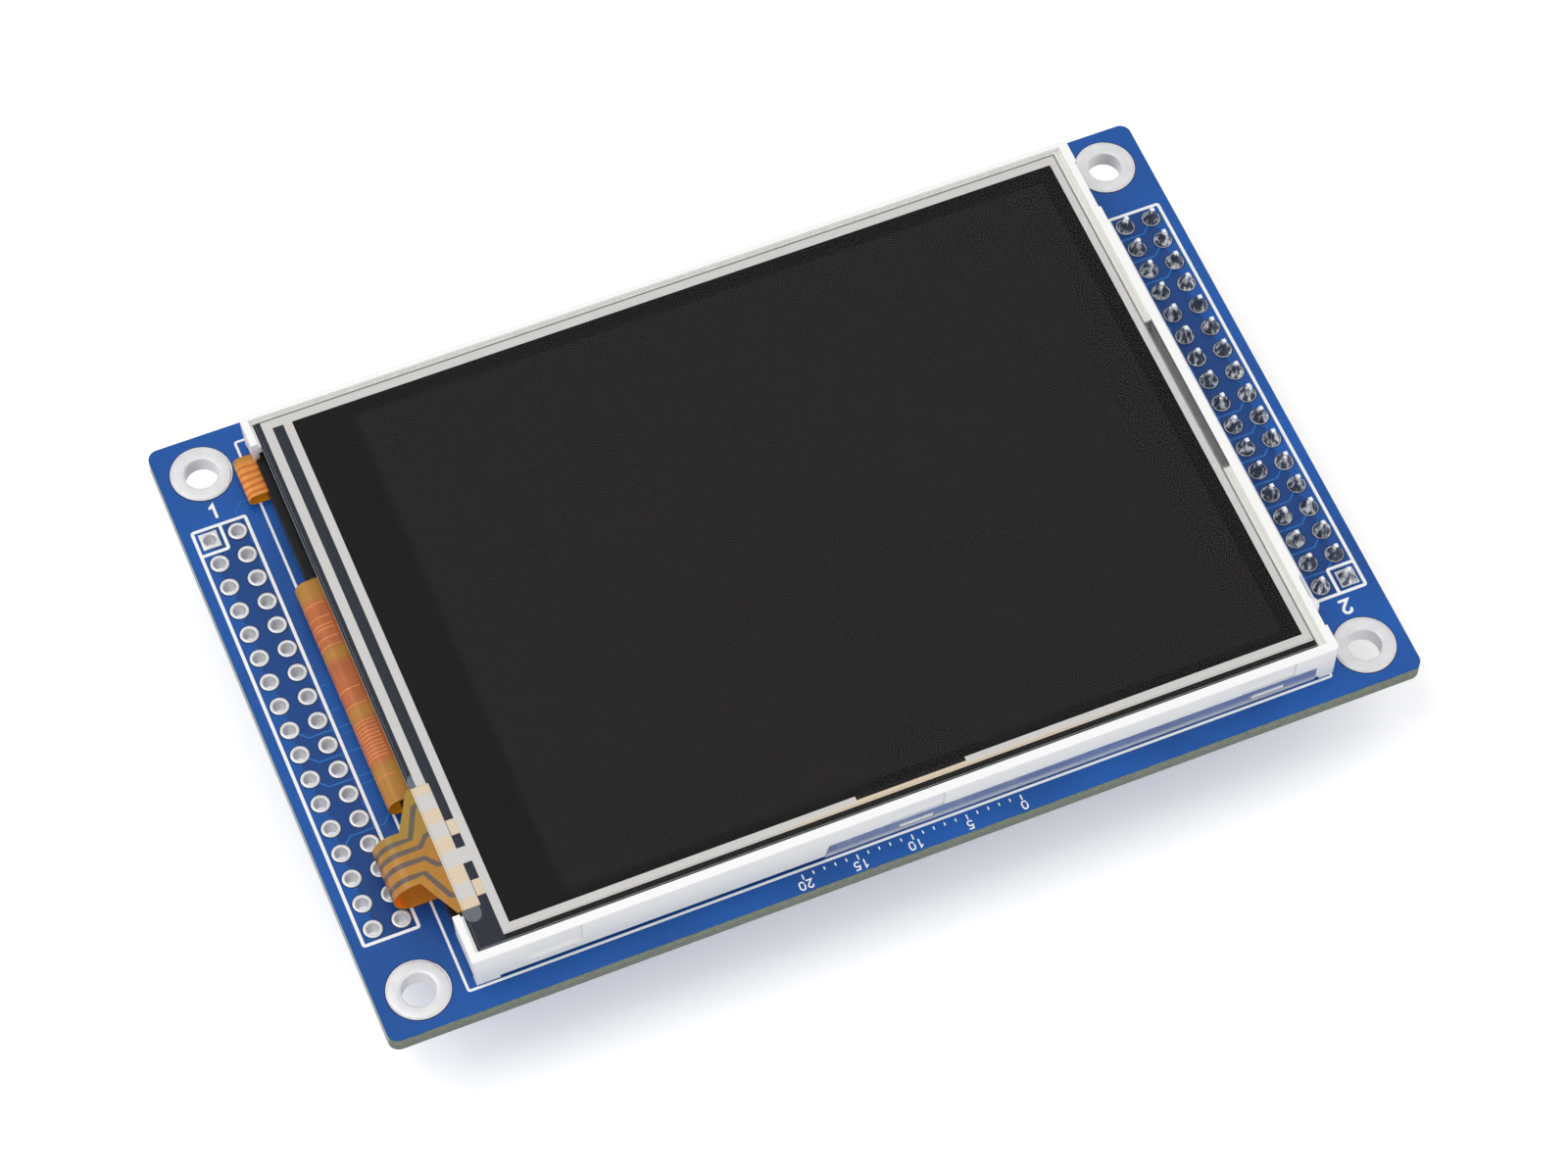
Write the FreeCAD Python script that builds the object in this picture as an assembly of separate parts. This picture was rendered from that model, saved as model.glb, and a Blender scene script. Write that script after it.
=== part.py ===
import FreeCAD, Part
import os

# A colour display of the 3.2 inch class with a resistive touch panel, on its circuit board.
# Millimetres. Z is up, out of the screen. X runs along the long side, from the empty header
# to the header with pins. The origin is the centre of the four mounting holes, on the
# underside of the board, where stand-offs seat.

# Display outline and its place on the board
display_length = 78.9
display_width = 57.0
display_offset_x = 0.4
display_offset_y = 0.05

# Circuit board, as margins round the display
board_side_margin = 7.8
board_edge_margin = 2.3
board_thickness = 1.6
board_corner_radius = 1.0
foil_thickness = 0.05

# Mounting holes
hole_margin_x = 3.85
hole_margin_y = 3.8
mount_hole_diameter = 3.0
mount_ring_diameter = 5.5

# Two-row headers
pin_pitch = 2.54
pin_rows = 17
header_edge_margin = 2.3
pin_hole_diameter = 1.15
pin_pad_diameter = 1.65
pin_side = 0.64
pin_tip_side = 0.4
pin_tip_length = 0.3
pin_tail_height = 1.55
pin_reach = 6.1
insulator_height = 2.54
insulator_width = 5.0
insulator_notch = 0.45
solder_height = 1.4
solder_top_diameter = 0.92
solder_foot_gap = 0.06
solder_waist_reach = 0.3
solder_waist_rise = 0.4

# Layers of the display, from the board upwards
mounting_tape_thickness = 0.4
shell_thickness = 0.2
reflector_thickness = 0.08
light_guide_thickness = 0.6
led_flex_thickness = 0.1
diffuser_thickness = 0.08
prism_thickness = 0.14
rim_tape_thickness = 0.16
polariser_thickness = 0.13
tft_glass_thickness = 0.42
filter_glass_thickness = 0.42
touch_gasket_thickness = 0.2
touch_glass_thickness = 0.7
touch_spacer_thickness = 0.07
silver_thickness = 0.03
touch_film_thickness = 0.18
rim_above_film = 0.25

# Moulded frame
front_wall = 0.85
back_wall = 0.5
right_wall = 0.85
tab_wall = 0.66
tab_draft = 0.25
front_tab_length = 4.65
back_tab_length = 3.1
shelf_width = 1.3
left_rail_width = 1.0
left_rail_setback = 0.35
frame_skirt = 0.2
lip_height = 2.2
frame_corner_radius = 0.4
foot_length = 2.1
right_foot_length = 1.55
right_step_depth = 0.2
right_step_length = 5.3
right_step_start = 2.5
recess_width = 5.0
recess_depth = 0.2
recess_spacing = 32.6
recess_shift = 0.35
recess_rim = 0.1
recess_rise = 0.7
ledge_play = 0.05
ledge_gap_length = 16.0
peg_radius = 0.7
peg_height = 1.9
peg_from_front = 5.85
peg_offset = 0.35

# Folded metal shell
shell_clearance = 0.05
flange_start = 31.4
flange_end_margin = 1.95
flange_chamfer = 0.45
flange_foot = 0.05
latch_length = 3.0
latch_height = 0.4
latch_rise = 0.15
latch_play = 0.15

# Backlight
sheet_clearance = 0.15
led_count = 6
led_length = 3.8
led_depth = 0.9
led_pitch = 7.6
led_flex_width = 2.0
led_flex_length = 49.0
backlight_loop_front = 50.75
backlight_loop_width = 4.2
backlight_loop_reach = 1.9
backlight_tongue = 5.0

# Display glass
glass_clearance = 0.35
glass_left_setback = 0.85
ledge_depth = 3.1
polariser_inset = 0.4
rim_tape_width = 2.2
rim_tape_left = 4.3
rim_tape_inset = 0.1
polariser_clearance = 0.2
chip_length = 20.0
chip_width = 1.2
chip_height = 0.3
chip_gap = 0.5

# Main flex
main_flex_thickness = 0.1
main_flex_width = 23.0
main_flex_centre = 0.45
main_flex_bond = 1.0
main_flex_straight = 0.7
main_flex_tongue = 9.0

# Black tape on the open left side
side_tape_thickness = 0.1
side_tape_overlap = 1.3
side_tape_end_gap = 0.3
side_tape_play = 0.3

# Touch panel
touch_gap_left = 1.0
touch_gap_right = 0.65
touch_gap_front = 0.3
touch_gap_back = 0.35
film_step_left = 0.15
gasket_width = 1.3
border_left = 3.25
border_right = 0.75
border_front = 1.5
border_back = 0.9
strip_left_inset = 0.6
strip_left_width = 0.85
strip_inner_width = 0.8
strip_back_width = 0.85
strip_front_width = 0.88
strip_right_width = 0.7
strip_narrow = 0.5
narrow_start = 34.2
narrow_length = 10.0

# Touch flex tail
tail_root_front = 3.9
tail_root_width = 12.3
tail_width = 5.1
tail_neck_offset = 3.5
tail_bond = 1.65
tail_root_step = 0.35
tail_taper_length = 1.9
tail_straight = 2.83
tail_tongue = 7.0
bridge_width = 1.5
bridge_offset = 6.7
glue_length = 1.3
glue_width = 1.5

# Two foam strips under the display
foam_strip_length = 64.0
foam_strip_width = 8.0
foam_strip_inset = 3.0
foam_strip_shift = 4.0

# Parts under the board
controller_length = 5.0
controller_width = 4.4
controller_height = 1.0
controller_x = -6.0
controller_y = 8.0
controller_leg_pitch = 0.65
controller_leg_pairs = 8
leg_width = 0.25
leg_thickness = 0.15
leg_reach = 1.0
leg_foot = 0.5
stand_off = 0.1
regulator_length = 2.9
regulator_width = 1.6
regulator_height = 1.1
regulator_x = 14.0
regulator_y = 8.0
regulator_leg_pitch = 0.95
transistor_x = 14.0
transistor_y = -8.0
small_leg_width = 0.4
small_leg_reach = 0.6
small_leg_foot = 0.35
chip_part_length = 1.6
chip_part_width = 0.8
chip_part_height = 0.5
chip_part_end = 0.3
capacitor_height = 0.75
capacitor_spots = [(-12.5, 8.0), (0.5, 8.0), (19.0, 8.0), (9.0, 8.0)]
resistor_spots = [(-12.5, 0.0), (-9.0, 0.0), (-5.5, 0.0), (-2.0, 0.0), (9.0, -8.0), (19.0, -8.0)]

# How far a cutting shape runs past its piece, and how far a flex loop laps its strip
cut_margin = 1.0
flex_lap = 0.5

# Sizes that follow from those above
board_length = display_length + 2 * board_side_margin
board_width = display_width + 2 * board_edge_margin
hole_x = board_length / 2 - hole_margin_x
hole_y = board_width / 2 - hole_margin_y
outer_column = board_length / 2 - header_edge_margin
inner_column = outer_column - pin_pitch
row_places = [((pin_rows - 1) / 2 - i) * pin_pitch for i in range(pin_rows)]

# Height of each layer above the front of the board
z_shell = mounting_tape_thickness
z_plate = z_shell + shell_thickness
z_guide = z_plate + reflector_thickness
z_guide_top = z_guide + light_guide_thickness
z_lower_prism = z_guide_top + diffuser_thickness
z_upper_prism = z_lower_prism + prism_thickness
z_shelf = z_upper_prism + prism_thickness
z_tft = z_shelf + rim_tape_thickness
z_filter = z_tft + tft_glass_thickness
z_front_polariser = z_filter + filter_glass_thickness
z_gasket = z_front_polariser + polariser_thickness
z_touch = z_gasket + touch_gasket_thickness
z_spacer = z_touch + touch_glass_thickness
z_silver = z_spacer + touch_spacer_thickness
z_film = z_silver + silver_thickness
z_film_top = z_film + touch_film_thickness
z_rim = z_film_top + rim_above_film
z_lip = z_rim - lip_height

# Edges of the frame, in the display's own axes with the origin at its centre
left = -display_length / 2
right = display_length / 2
front = -display_width / 2
back = display_width / 2
inner_right = right - right_wall
inner_front = front + front_wall
inner_back = back - back_wall
rail_left = left + left_rail_setback
rail_right = rail_left + left_rail_width
window_right = inner_right - shelf_width
window_front = inner_front + shelf_width
window_back = inner_back - shelf_width

# Edges of the display glass
glass_left = left + glass_left_setback
glass_right = inner_right - glass_clearance
glass_front = inner_front + glass_clearance
glass_back = inner_back - glass_clearance
filter_left = glass_left + ledge_depth

# Edges of the touch panel and of its clear window
touch_left = left + touch_gap_left
touch_right = inner_right - touch_gap_right
touch_front = inner_front + touch_gap_front
touch_back = inner_back - touch_gap_back
view_left = touch_left + border_left
view_right = touch_right - border_right
view_front = touch_front + border_front
view_back = touch_back - border_back

# Edges of the touch tail's root, between pane and film
root_front = touch_front + tail_root_front
root_back = root_front + tail_root_width
root_right = touch_left + tail_bond


def block(x0, x1, y0, y1, z0, z1):
    """A box between two corners."""
    return Part.makeBox(x1 - x0, y1 - y0, z1 - z0, FreeCAD.Vector(x0, y0, z0))


def cylinder(x, y, radius, z0, z1):
    """An upright cylinder."""
    return Part.makeCylinder(radius, z1 - z0, FreeCAD.Vector(x, y, z0))


def plan_prism(points, z0, z1):
    """A flat plate from its outline seen from above."""
    corners = [FreeCAD.Vector(x, y, z0) for x, y in points]
    wire = Part.makePolygon(corners + corners[:1])
    return Part.Face(wire).extrude(FreeCAD.Vector(0, 0, z1 - z0))


def side_prism(points, y0, y1):
    """A bar along Y from its outline in X and Z."""
    corners = [FreeCAD.Vector(x, y0, z) for x, z in points]
    wire = Part.makePolygon(corners + corners[:1])
    return Part.Face(wire).extrude(FreeCAD.Vector(0, y1 - y0, 0))


def spun(points, x=0.0, y=0.0):
    """A round solid about an upright axis from points of radius and height."""
    corners = [FreeCAD.Vector(r, 0, z) for r, z in points]
    face = Part.Face(Part.makePolygon(corners + corners[:1]))
    solid = face.revolve(FreeCAD.Vector(0, 0, 0), FreeCAD.Vector(0, 0, 1), 360)
    solid.translate(FreeCAD.Vector(x, y, 0))
    return solid


def moved(shape, x, y, z=0.0):
    """A copy of a shape at another place."""
    copy = shape.copy()
    copy.translate(FreeCAD.Vector(x, y, z))
    return copy


def save(name, shapes, on_display=False):
    """Write one node, a single solid or a group of separate ones."""
    if not isinstance(shapes, list):
        shapes = [shapes]
    if on_display:
        shapes = [moved(s, display_offset_x, display_offset_y, board_thickness) for s in shapes]
    solids = []
    for shape in shapes:
        solids.extend(shape.Solids)
    result = solids[0] if len(solids) == 1 else Part.makeCompound(solids)
    result.exportStep("parts/" + name + ".step")
    print(name, len(solids), "solids", round(sum(s.Volume for s in solids), 3), "mm3")


def header_places(side):
    """Column and row of each pin of the header at one end of the board."""
    return [(side * column, row) for column in (outer_column, inner_column) for row in row_places]


def first_pin(side):
    """Place of the square pad that marks the header's first pin."""
    return side * outer_column, -side * row_places[0]


def make_board():
    """Board with rounded corners and every drilled hole."""
    half_x = board_length / 2
    half_y = board_width / 2
    board = block(-half_x, half_x, -half_y, half_y, 0, board_thickness)
    upright = [e for e in board.Edges if abs(e.Vertexes[0].Z - e.Vertexes[-1].Z) > board_thickness / 2]
    board = board.makeFillet(board_corner_radius, upright)
    drills = []
    for sx in (-1, 1):
        for sy in (-1, 1):
            radius = mount_hole_diameter / 2 + foil_thickness
            drills.append(cylinder(sx * hole_x, sy * hole_y, radius, -cut_margin,
                                   board_thickness + cut_margin))
        for x, y in header_places(sx):
            radius = pin_hole_diameter / 2 + foil_thickness
            drills.append(cylinder(x, y, radius, -cut_margin, board_thickness + cut_margin))
    save("circuit_board", board.cut(Part.makeCompound(drills)))


def plated_hole(hole_radius, pad_radius):
    """Plated barrel with a round pad on each face of the board."""
    outer = hole_radius + foil_thickness
    low = -foil_thickness
    high = board_thickness + foil_thickness
    return spun([(hole_radius, low), (pad_radius, low), (pad_radius, 0), (outer, 0),
                 (outer, board_thickness), (pad_radius, board_thickness), (pad_radius, high),
                 (hole_radius, high)])


def square_plated_hole(hole_radius, half_side):
    """Plated barrel with a square pad on each face of the board."""
    outer = hole_radius + foil_thickness
    barrel = cylinder(0, 0, outer, -foil_thickness, board_thickness + foil_thickness)
    below = block(-half_side, half_side, -half_side, half_side, -foil_thickness, 0)
    above = moved(below, 0, 0, board_thickness + foil_thickness)
    drill = cylinder(0, 0, hole_radius, -cut_margin, board_thickness + cut_margin)
    return barrel.fuse([below, above]).cut(drill).removeSplitter()


def make_plated_holes():
    """Rings of the mounting holes and pads of both headers."""
    ring = plated_hole(mount_hole_diameter / 2, mount_ring_diameter / 2)
    rings = [moved(ring, sx * hole_x, sy * hole_y) for sx in (-1, 1) for sy in (-1, 1)]
    save("mount_hole_rings", rings)
    round_pad = plated_hole(pin_hole_diameter / 2, pin_pad_diameter / 2)
    square_pad = square_plated_hole(pin_hole_diameter / 2, pin_pad_diameter / 2)
    for side, name in ((-1, "left_header_pads"), (1, "right_header_pads")):
        pads = []
        for x, y in header_places(side):
            pads.append(moved(square_pad if (x, y) == first_pin(side) else round_pad, x, y))
        save(name, pads)


def square_wire(half_side, z):
    """Square outline at one height."""
    corners = [FreeCAD.Vector(sx * half_side, sy * half_side, z)
               for sx, sy in ((-1, -1), (1, -1), (1, 1), (-1, 1))]
    return Part.makePolygon(corners + corners[:1])


def header_pin():
    """Square pin with a tapered tip at each end."""
    top = board_thickness + pin_tail_height
    bottom = -insulator_height - pin_reach
    sections = [square_wire(pin_tip_side / 2, bottom),
                square_wire(pin_side / 2, bottom + pin_tip_length),
                square_wire(pin_side / 2, top - pin_tip_length),
                square_wire(pin_tip_side / 2, top)]
    return Part.makeLoft(sections, True, True)


def solder_joint():
    """Solder that fills the hole and rises round the pin in a hollow cone."""
    hole_radius = pin_hole_diameter / 2
    foot_radius = pin_pad_diameter / 2 - solder_foot_gap
    top_radius = solder_top_diameter / 2
    pad_top = board_thickness + foil_thickness
    top = board_thickness + solder_height
    middle_radius = top_radius + solder_waist_reach * (foot_radius - top_radius)
    middle = pad_top + solder_waist_rise * (top - pad_top)
    start = FreeCAD.Vector(foot_radius, 0, pad_top)
    end = FreeCAD.Vector(top_radius, 0, top)
    flank = Part.Arc(start, FreeCAD.Vector(middle_radius, 0, middle), end).toShape()
    corners = [end, FreeCAD.Vector(0, 0, top), FreeCAD.Vector(0, 0, 0),
               FreeCAD.Vector(hole_radius, 0, 0), FreeCAD.Vector(hole_radius, 0, pad_top), start]
    lines = [Part.LineSegment(a, b).toShape() for a, b in zip(corners, corners[1:])]
    face = Part.Face(Part.Wire([flank] + lines))
    joint = face.revolve(FreeCAD.Vector(0, 0, 0), FreeCAD.Vector(0, 0, 1), 360)
    return joint.cut(header_pin())


def make_right_header():
    """Header with its pins down and its solder joints on the display side."""
    places = header_places(1)
    save("right_header_pins", [moved(header_pin(), x, y) for x, y in places])
    save("right_header_solder", [moved(solder_joint(), x, y) for x, y in places])
    centre = (outer_column + inner_column) / 2
    half_width = insulator_width / 2
    edge = []
    for row in row_places:
        high = row + pin_pitch / 2
        low = row - pin_pitch / 2
        edge.append((half_width - insulator_notch, high))
        edge.append((half_width, high - insulator_notch))
        edge.append((half_width, low + insulator_notch))
    edge.append((half_width - insulator_notch, row_places[-1] - pin_pitch / 2))
    outline = [(centre + x, y) for x, y in edge] + [(centre - x, -y) for x, y in edge]
    body = plan_prism(outline, -insulator_height, -foil_thickness)
    slots = [block(x - pin_side / 2, x + pin_side / 2, y - pin_side / 2, y + pin_side / 2,
                   -insulator_height - cut_margin, cut_margin) for x, y in places]
    save("right_header_body", body.cut(Part.makeCompound(slots)))


def latch_places():
    """Middles of the latch bars along the front and back walls."""
    return [recess_shift, recess_shift + recess_spacing]


def latch_bars(grow=0.0):
    """Bars that stand in the windows of the shell's upturned edges."""
    bars = []
    low = z_plate + latch_rise - grow
    high = z_plate + latch_rise + latch_height + grow
    for x in latch_places():
        x0 = x - latch_length / 2 - grow
        x1 = x + latch_length / 2 + grow
        bars.append(block(x0, x1, front, front + shell_thickness + shell_clearance, low, high))
        bars.append(block(x0, x1, back - shell_thickness - shell_clearance, back, low, high))
    return bars


def flange_outline(side, thickness, clearance):
    """Upturned edge of the shell along one long side, or the room for it."""
    x0 = left + flange_start - clearance
    x1 = right - flange_end_margin + clearance
    outer = side * back
    inner = outer - side * (thickness + clearance)
    points = [(x0, flange_foot), (x1, flange_foot), (x1, z_lip), (x0 + flange_chamfer, z_lip)]
    return side_prism(points, min(outer, inner), max(outer, inner))


def rounded_outline(x0, grow, z0, z1):
    """Plan of the frame, with its two right corners rounded."""
    plate = block(x0, right + grow, front - grow, back + grow, z0, z1)
    corners = [e for e in plate.Edges
               if e.BoundBox.Center.x > 0 and e.BoundBox.ZLength > (z1 - z0) / 2]
    return plate.makeFillet(frame_corner_radius, corners)


def corner_feet(grow, z_top):
    """Blocks at the four corners that stand on the board."""
    low_x = left + tab_draft
    outline = rounded_outline(left, grow, 0, z_top)
    feet = []
    for x0, x1 in ((low_x, low_x + foot_length), (right - right_foot_length, right)):
        for y0, y1 in ((front, inner_front), (inner_back, back)):
            foot = block(x0 - grow, x1 + grow, y0 - grow, y1 + grow, 0, z_top)
            feet.append(foot.common(outline))
    return feet


def make_shell():
    """Bright sheet with a flat plate and two upturned edges."""
    inset = frame_skirt + shell_clearance
    plate = block(rail_left - side_tape_thickness, right - inset, front + inset, back - inset,
                  z_shell, z_plate)
    plate = plate.cut(corner_feet(shell_clearance, z_rim))
    pieces = []
    base = block(left, right, front, back, z_shell, z_plate)
    for side in (-1, 1):
        seam = flange_outline(side, inset, 0).common(base)
        pieces.extend([flange_outline(side, shell_thickness, 0), seam])
    shell = plate.fuse(pieces)
    shell = shell.cut(latch_bars(latch_play)).removeSplitter()
    save("metal_shell", shell, True)


def frame_ring():
    """Outer walls with the shelf for the glass and the low left rail."""
    walls = rounded_outline(rail_left, 0, z_shell, z_rim)
    glass_room = block(rail_left - cut_margin, inner_right, inner_front, inner_back, z_shelf,
                       z_rim + cut_margin)
    light_room = block(rail_right, window_right, window_front, window_back, z_shell - cut_margin,
                       z_shelf + cut_margin)
    return walls.cut([glass_room, light_room])


def left_tab(y0, y1):
    """Corner tab on the left side, whose outer face leans in towards the board."""
    points = [(left + tab_draft, z_shell), (left, z_rim), (left + tab_wall, z_rim),
              (left + tab_wall, z_shelf), (rail_right, z_shelf), (rail_right, z_shell)]
    return side_prism(points, y0, y1)


def frame_tabs():
    """Two corner tabs at the ends of the open left side."""
    return [left_tab(front, front + front_tab_length), left_tab(back - back_tab_length, back)]


def frame_recesses():
    """Shallow panels in the outer faces of the long walls."""
    recesses = []
    for side in (-1, 1):
        face = side * back
        floor = face - side * recess_depth
        for spot in (-1, 0, 1):
            middle = recess_shift + spot * recess_spacing
            low = z_plate + recess_rise if spot < 0 else z_lip
            recesses.append(block(middle - recess_width / 2, middle + recess_width / 2,
                                  min(face, floor), max(face, floor), low, z_rim - recess_rim))
    return recesses


def right_steps():
    """Two stretches where the right wall's outer face stands back."""
    steps = []
    for side in (-1, 1):
        far = side * (back - right_step_start)
        near = far - side * right_step_length
        steps.append(block(right - right_step_depth, right + cut_margin, min(far, near), max(far, near),
                           z_shell - cut_margin, z_rim + cut_margin))
    return steps


def wall_ledges():
    """Ledges inside the right wall, the back wall and the left tabs, beside the touch panel."""
    near_right = touch_right + ledge_play
    near_back = touch_back + ledge_play
    near_left = touch_left - ledge_play
    tab_inside = left + tab_wall
    ledges = [block(tab_inside, inner_right, near_back, inner_back, z_gasket, z_film),
              block(tab_inside, near_left, back - back_tab_length, inner_back, z_gasket, z_spacer),
              block(tab_inside, near_left, inner_front, front + front_tab_length, z_gasket, z_spacer)]
    for y0, y1 in ((inner_front, -ledge_gap_length / 2), (ledge_gap_length / 2, inner_back)):
        ledges.append(block(near_right, inner_right, y0, y1, z_gasket, z_film))
    return ledges


def locating_peg():
    """Round peg with a domed top on the right wall, near its front end."""
    x = right + peg_offset
    y = front + peg_from_front
    return [cylinder(x, y, peg_radius, 0, peg_height),
            Part.makeSphere(peg_radius, FreeCAD.Vector(x, y, peg_height))]


def make_frame():
    """White moulded frame."""
    inset = frame_skirt
    plate_room = block(left - cut_margin, right - inset, front + inset, back - inset,
                       z_shell - cut_margin, z_plate)
    flange_rooms = [flange_outline(side, shell_thickness, shell_clearance) for side in (-1, 1)]
    frame = frame_ring().fuse(frame_tabs()).cut(frame_recesses() + right_steps())
    frame = frame.fuse(locating_peg()).cut([plate_room] + flange_rooms)
    frame = frame.fuse(corner_feet(0, z_plate) + latch_bars() + wall_ledges())
    frame = frame.cut([backlight_opening(), led_flex_room()])
    save("moulded_frame", frame.removeSplitter(), True)


def make_mounting_tape():
    """Two foam strips between the board and the shell."""
    strips = []
    x0 = foam_strip_shift - foam_strip_length / 2
    x1 = foam_strip_shift + foam_strip_length / 2
    for side in (-1, 1):
        y_far = side * (back - foam_strip_inset)
        y_near = y_far - side * foam_strip_width
        strips.append(block(x0, x1, min(y_far, y_near), max(y_far, y_near), 0, z_shell))
    save("mounting_tape", strips, True)


def sheet(x0, z0, thickness):
    """One flat sheet of the backlight, inside the frame's window."""
    return block(x0, window_right - sheet_clearance, window_front + sheet_clearance,
                 window_back - sheet_clearance, z0, z0 + thickness)


def make_backlight():
    """Reflector, light guide, lamps and films."""
    guide_left = rail_right + led_depth + 2 * sheet_clearance
    film_left = rail_right + led_flex_width + 2 * sheet_clearance
    save("reflector_sheet", sheet(guide_left, z_plate, reflector_thickness), True)
    save("light_guide", sheet(guide_left, z_guide, light_guide_thickness), True)
    save("diffuser_sheet", sheet(film_left, z_guide_top, diffuser_thickness), True)
    save("lower_prism_sheet", sheet(film_left, z_lower_prism, prism_thickness), True)
    save("upper_prism_sheet", sheet(film_left, z_upper_prism, prism_thickness), True)
    lamps = []
    x0 = rail_right + sheet_clearance
    for i in range(led_count):
        middle = (i - (led_count - 1) / 2) * led_pitch
        lamps.append(block(x0, x0 + led_depth, middle - led_length / 2, middle + led_length / 2,
                           z_plate, z_guide_top))
    save("backlight_leds", lamps, True)


def bent_flex(x_top, x_bend, x_low, z_top, thickness, y0, y1):
    """Film that runs left, turns down through half a circle and runs back on the board."""
    outer = z_top / 2
    inner = outer - thickness
    v = FreeCAD.Vector
    middle = z_top / 2
    points = [v(x_top, y0, z_top), v(x_bend, y0, z_top), v(x_bend, y0, 0), v(x_low, y0, 0),
              v(x_low, y0, thickness), v(x_bend, y0, thickness), v(x_bend, y0, z_top - thickness),
              v(x_top, y0, z_top - thickness)]
    outer_arc = Part.Arc(points[1], v(x_bend - outer, y0, middle), points[2]).toShape()
    inner_arc = Part.Arc(points[5], v(x_bend - inner, y0, middle), points[6]).toShape()
    def line(i, j):
        return Part.LineSegment(points[i], points[j]).toShape()
    wire = Part.Wire([line(0, 1), outer_arc, line(2, 3), line(3, 4), line(4, 5), inner_arc,
                      line(6, 7), line(7, 0)])
    return Part.Face(wire).extrude(v(0, y1 - y0, 0))


def backlight_loop_range():
    """Front and back edge of the backlight's flex tongue."""
    return front + backlight_loop_front, front + backlight_loop_front + backlight_loop_width


def backlight_opening():
    """Room for the backlight's flex through the rail, the tab, the side tape and the shelf's corner."""
    y0, y1 = backlight_loop_range()
    return block(left - cut_margin, rail_right + led_flex_width + sheet_clearance, y0 - side_tape_play,
                 y1 + side_tape_play, z_guide_top, z_guide_top + led_flex_thickness + side_tape_play)


def led_flex_room():
    """Room for the film that carries the lamps, where it runs under the frame's shelf."""
    half = led_flex_length / 2 + sheet_clearance
    return block(rail_right, rail_right + led_flex_width + sheet_clearance, -half, half, z_guide_top,
                 z_guide_top + led_flex_thickness + sheet_clearance)


def make_backlight_flex():
    """Film that carries the lamps and loops under the display at its rear left corner."""
    y0, y1 = backlight_loop_range()
    z_top = z_guide_top + led_flex_thickness
    strip_left = rail_right + sheet_clearance
    strip = block(strip_left, rail_right + led_flex_width, -led_flex_length / 2, led_flex_length / 2,
                  z_guide_top, z_top)
    bend = rail_left - backlight_loop_reach + z_top / 2
    loop = bent_flex(strip_left + flex_lap, bend, bend + backlight_tongue, z_top, led_flex_thickness, y0, y1)
    corner = block(strip_left, rail_right + led_flex_width, y0, y1, z_guide_top, z_top)
    save("backlight_flex", strip.fuse([loop, corner]).removeSplitter(), True)


def ring(x0, x1, y0, y1, w_left, w_right, w_front, w_back, z0, z1):
    """Flat ring with its own width on each side."""
    return block(x0, x1, y0, y1, z0, z1).cut(
        block(x0 + w_left, x1 - w_right, y0 + w_front, y1 - w_back, z0 - cut_margin, z1 + cut_margin))


def make_glass():
    """Display glass with its tape, polarisers and driver chip."""
    inset = rim_tape_inset
    save("rim_tape", ring(glass_left + inset, glass_right - inset, glass_front + inset, glass_back - inset,
                          rim_tape_left, rim_tape_width, rim_tape_width, rim_tape_width,
                          z_shelf, z_tft), True)
    edge = inset + rim_tape_width + polariser_clearance
    save("rear_polariser", block(glass_left + inset + rim_tape_left + polariser_clearance, glass_right - edge,
                                 glass_front + edge, glass_back - edge, z_tft - polariser_thickness,
                                 z_tft), True)
    save("tft_glass", block(glass_left, glass_right, glass_front, glass_back, z_tft, z_filter), True)
    save("filter_glass", block(filter_left, glass_right, glass_front, glass_back, z_filter,
                               z_front_polariser), True)
    save("front_polariser", block(filter_left + polariser_inset, glass_right - polariser_inset,
                                  glass_front + polariser_inset, glass_back - polariser_inset,
                                  z_front_polariser, z_gasket), True)
    chip_right = filter_left - chip_gap
    save("driver_chip", block(chip_right - chip_width, chip_right, main_flex_centre - chip_length / 2,
                              main_flex_centre + chip_length / 2, z_filter, z_filter + chip_height), True)


def make_main_flex():
    """Film from the ledge of the glass, round the left edge and under the display."""
    y0 = main_flex_centre - main_flex_width / 2
    y1 = main_flex_centre + main_flex_width / 2
    bend = glass_left - main_flex_straight
    save("main_flex", bent_flex(glass_left + main_flex_bond, bend, bend + main_flex_tongue,
                                z_filter + main_flex_thickness, main_flex_thickness, y0, y1), True)


def make_side_tape():
    """Black tape up the open side and over the ledge of the glass."""
    y0 = front + front_tab_length + side_tape_end_gap
    y1 = back - back_tab_length - side_tape_end_gap
    outer = rail_left - side_tape_thickness
    top = z_filter + side_tape_thickness
    points = [(outer, z_plate), (rail_left, z_plate), (rail_left, z_filter),
              (glass_left + side_tape_overlap, z_filter), (glass_left + side_tape_overlap, top),
              (outer, top)]
    tape = side_prism(points, y0, y1)
    flex_front = main_flex_centre - main_flex_width / 2 - side_tape_play
    flex_back = main_flex_centre + main_flex_width / 2 + side_tape_play
    flex_room = block(left - cut_margin, filter_left, flex_front, flex_back, z_tft, z_filter + cut_margin)
    save("side_tape", tape.cut(flex_room).cut(backlight_opening()), True)


def tail_root():
    """Outline of the tail's root between pane and film."""
    return block(touch_left, root_right, root_front, root_back, z_spacer, z_film)


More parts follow.
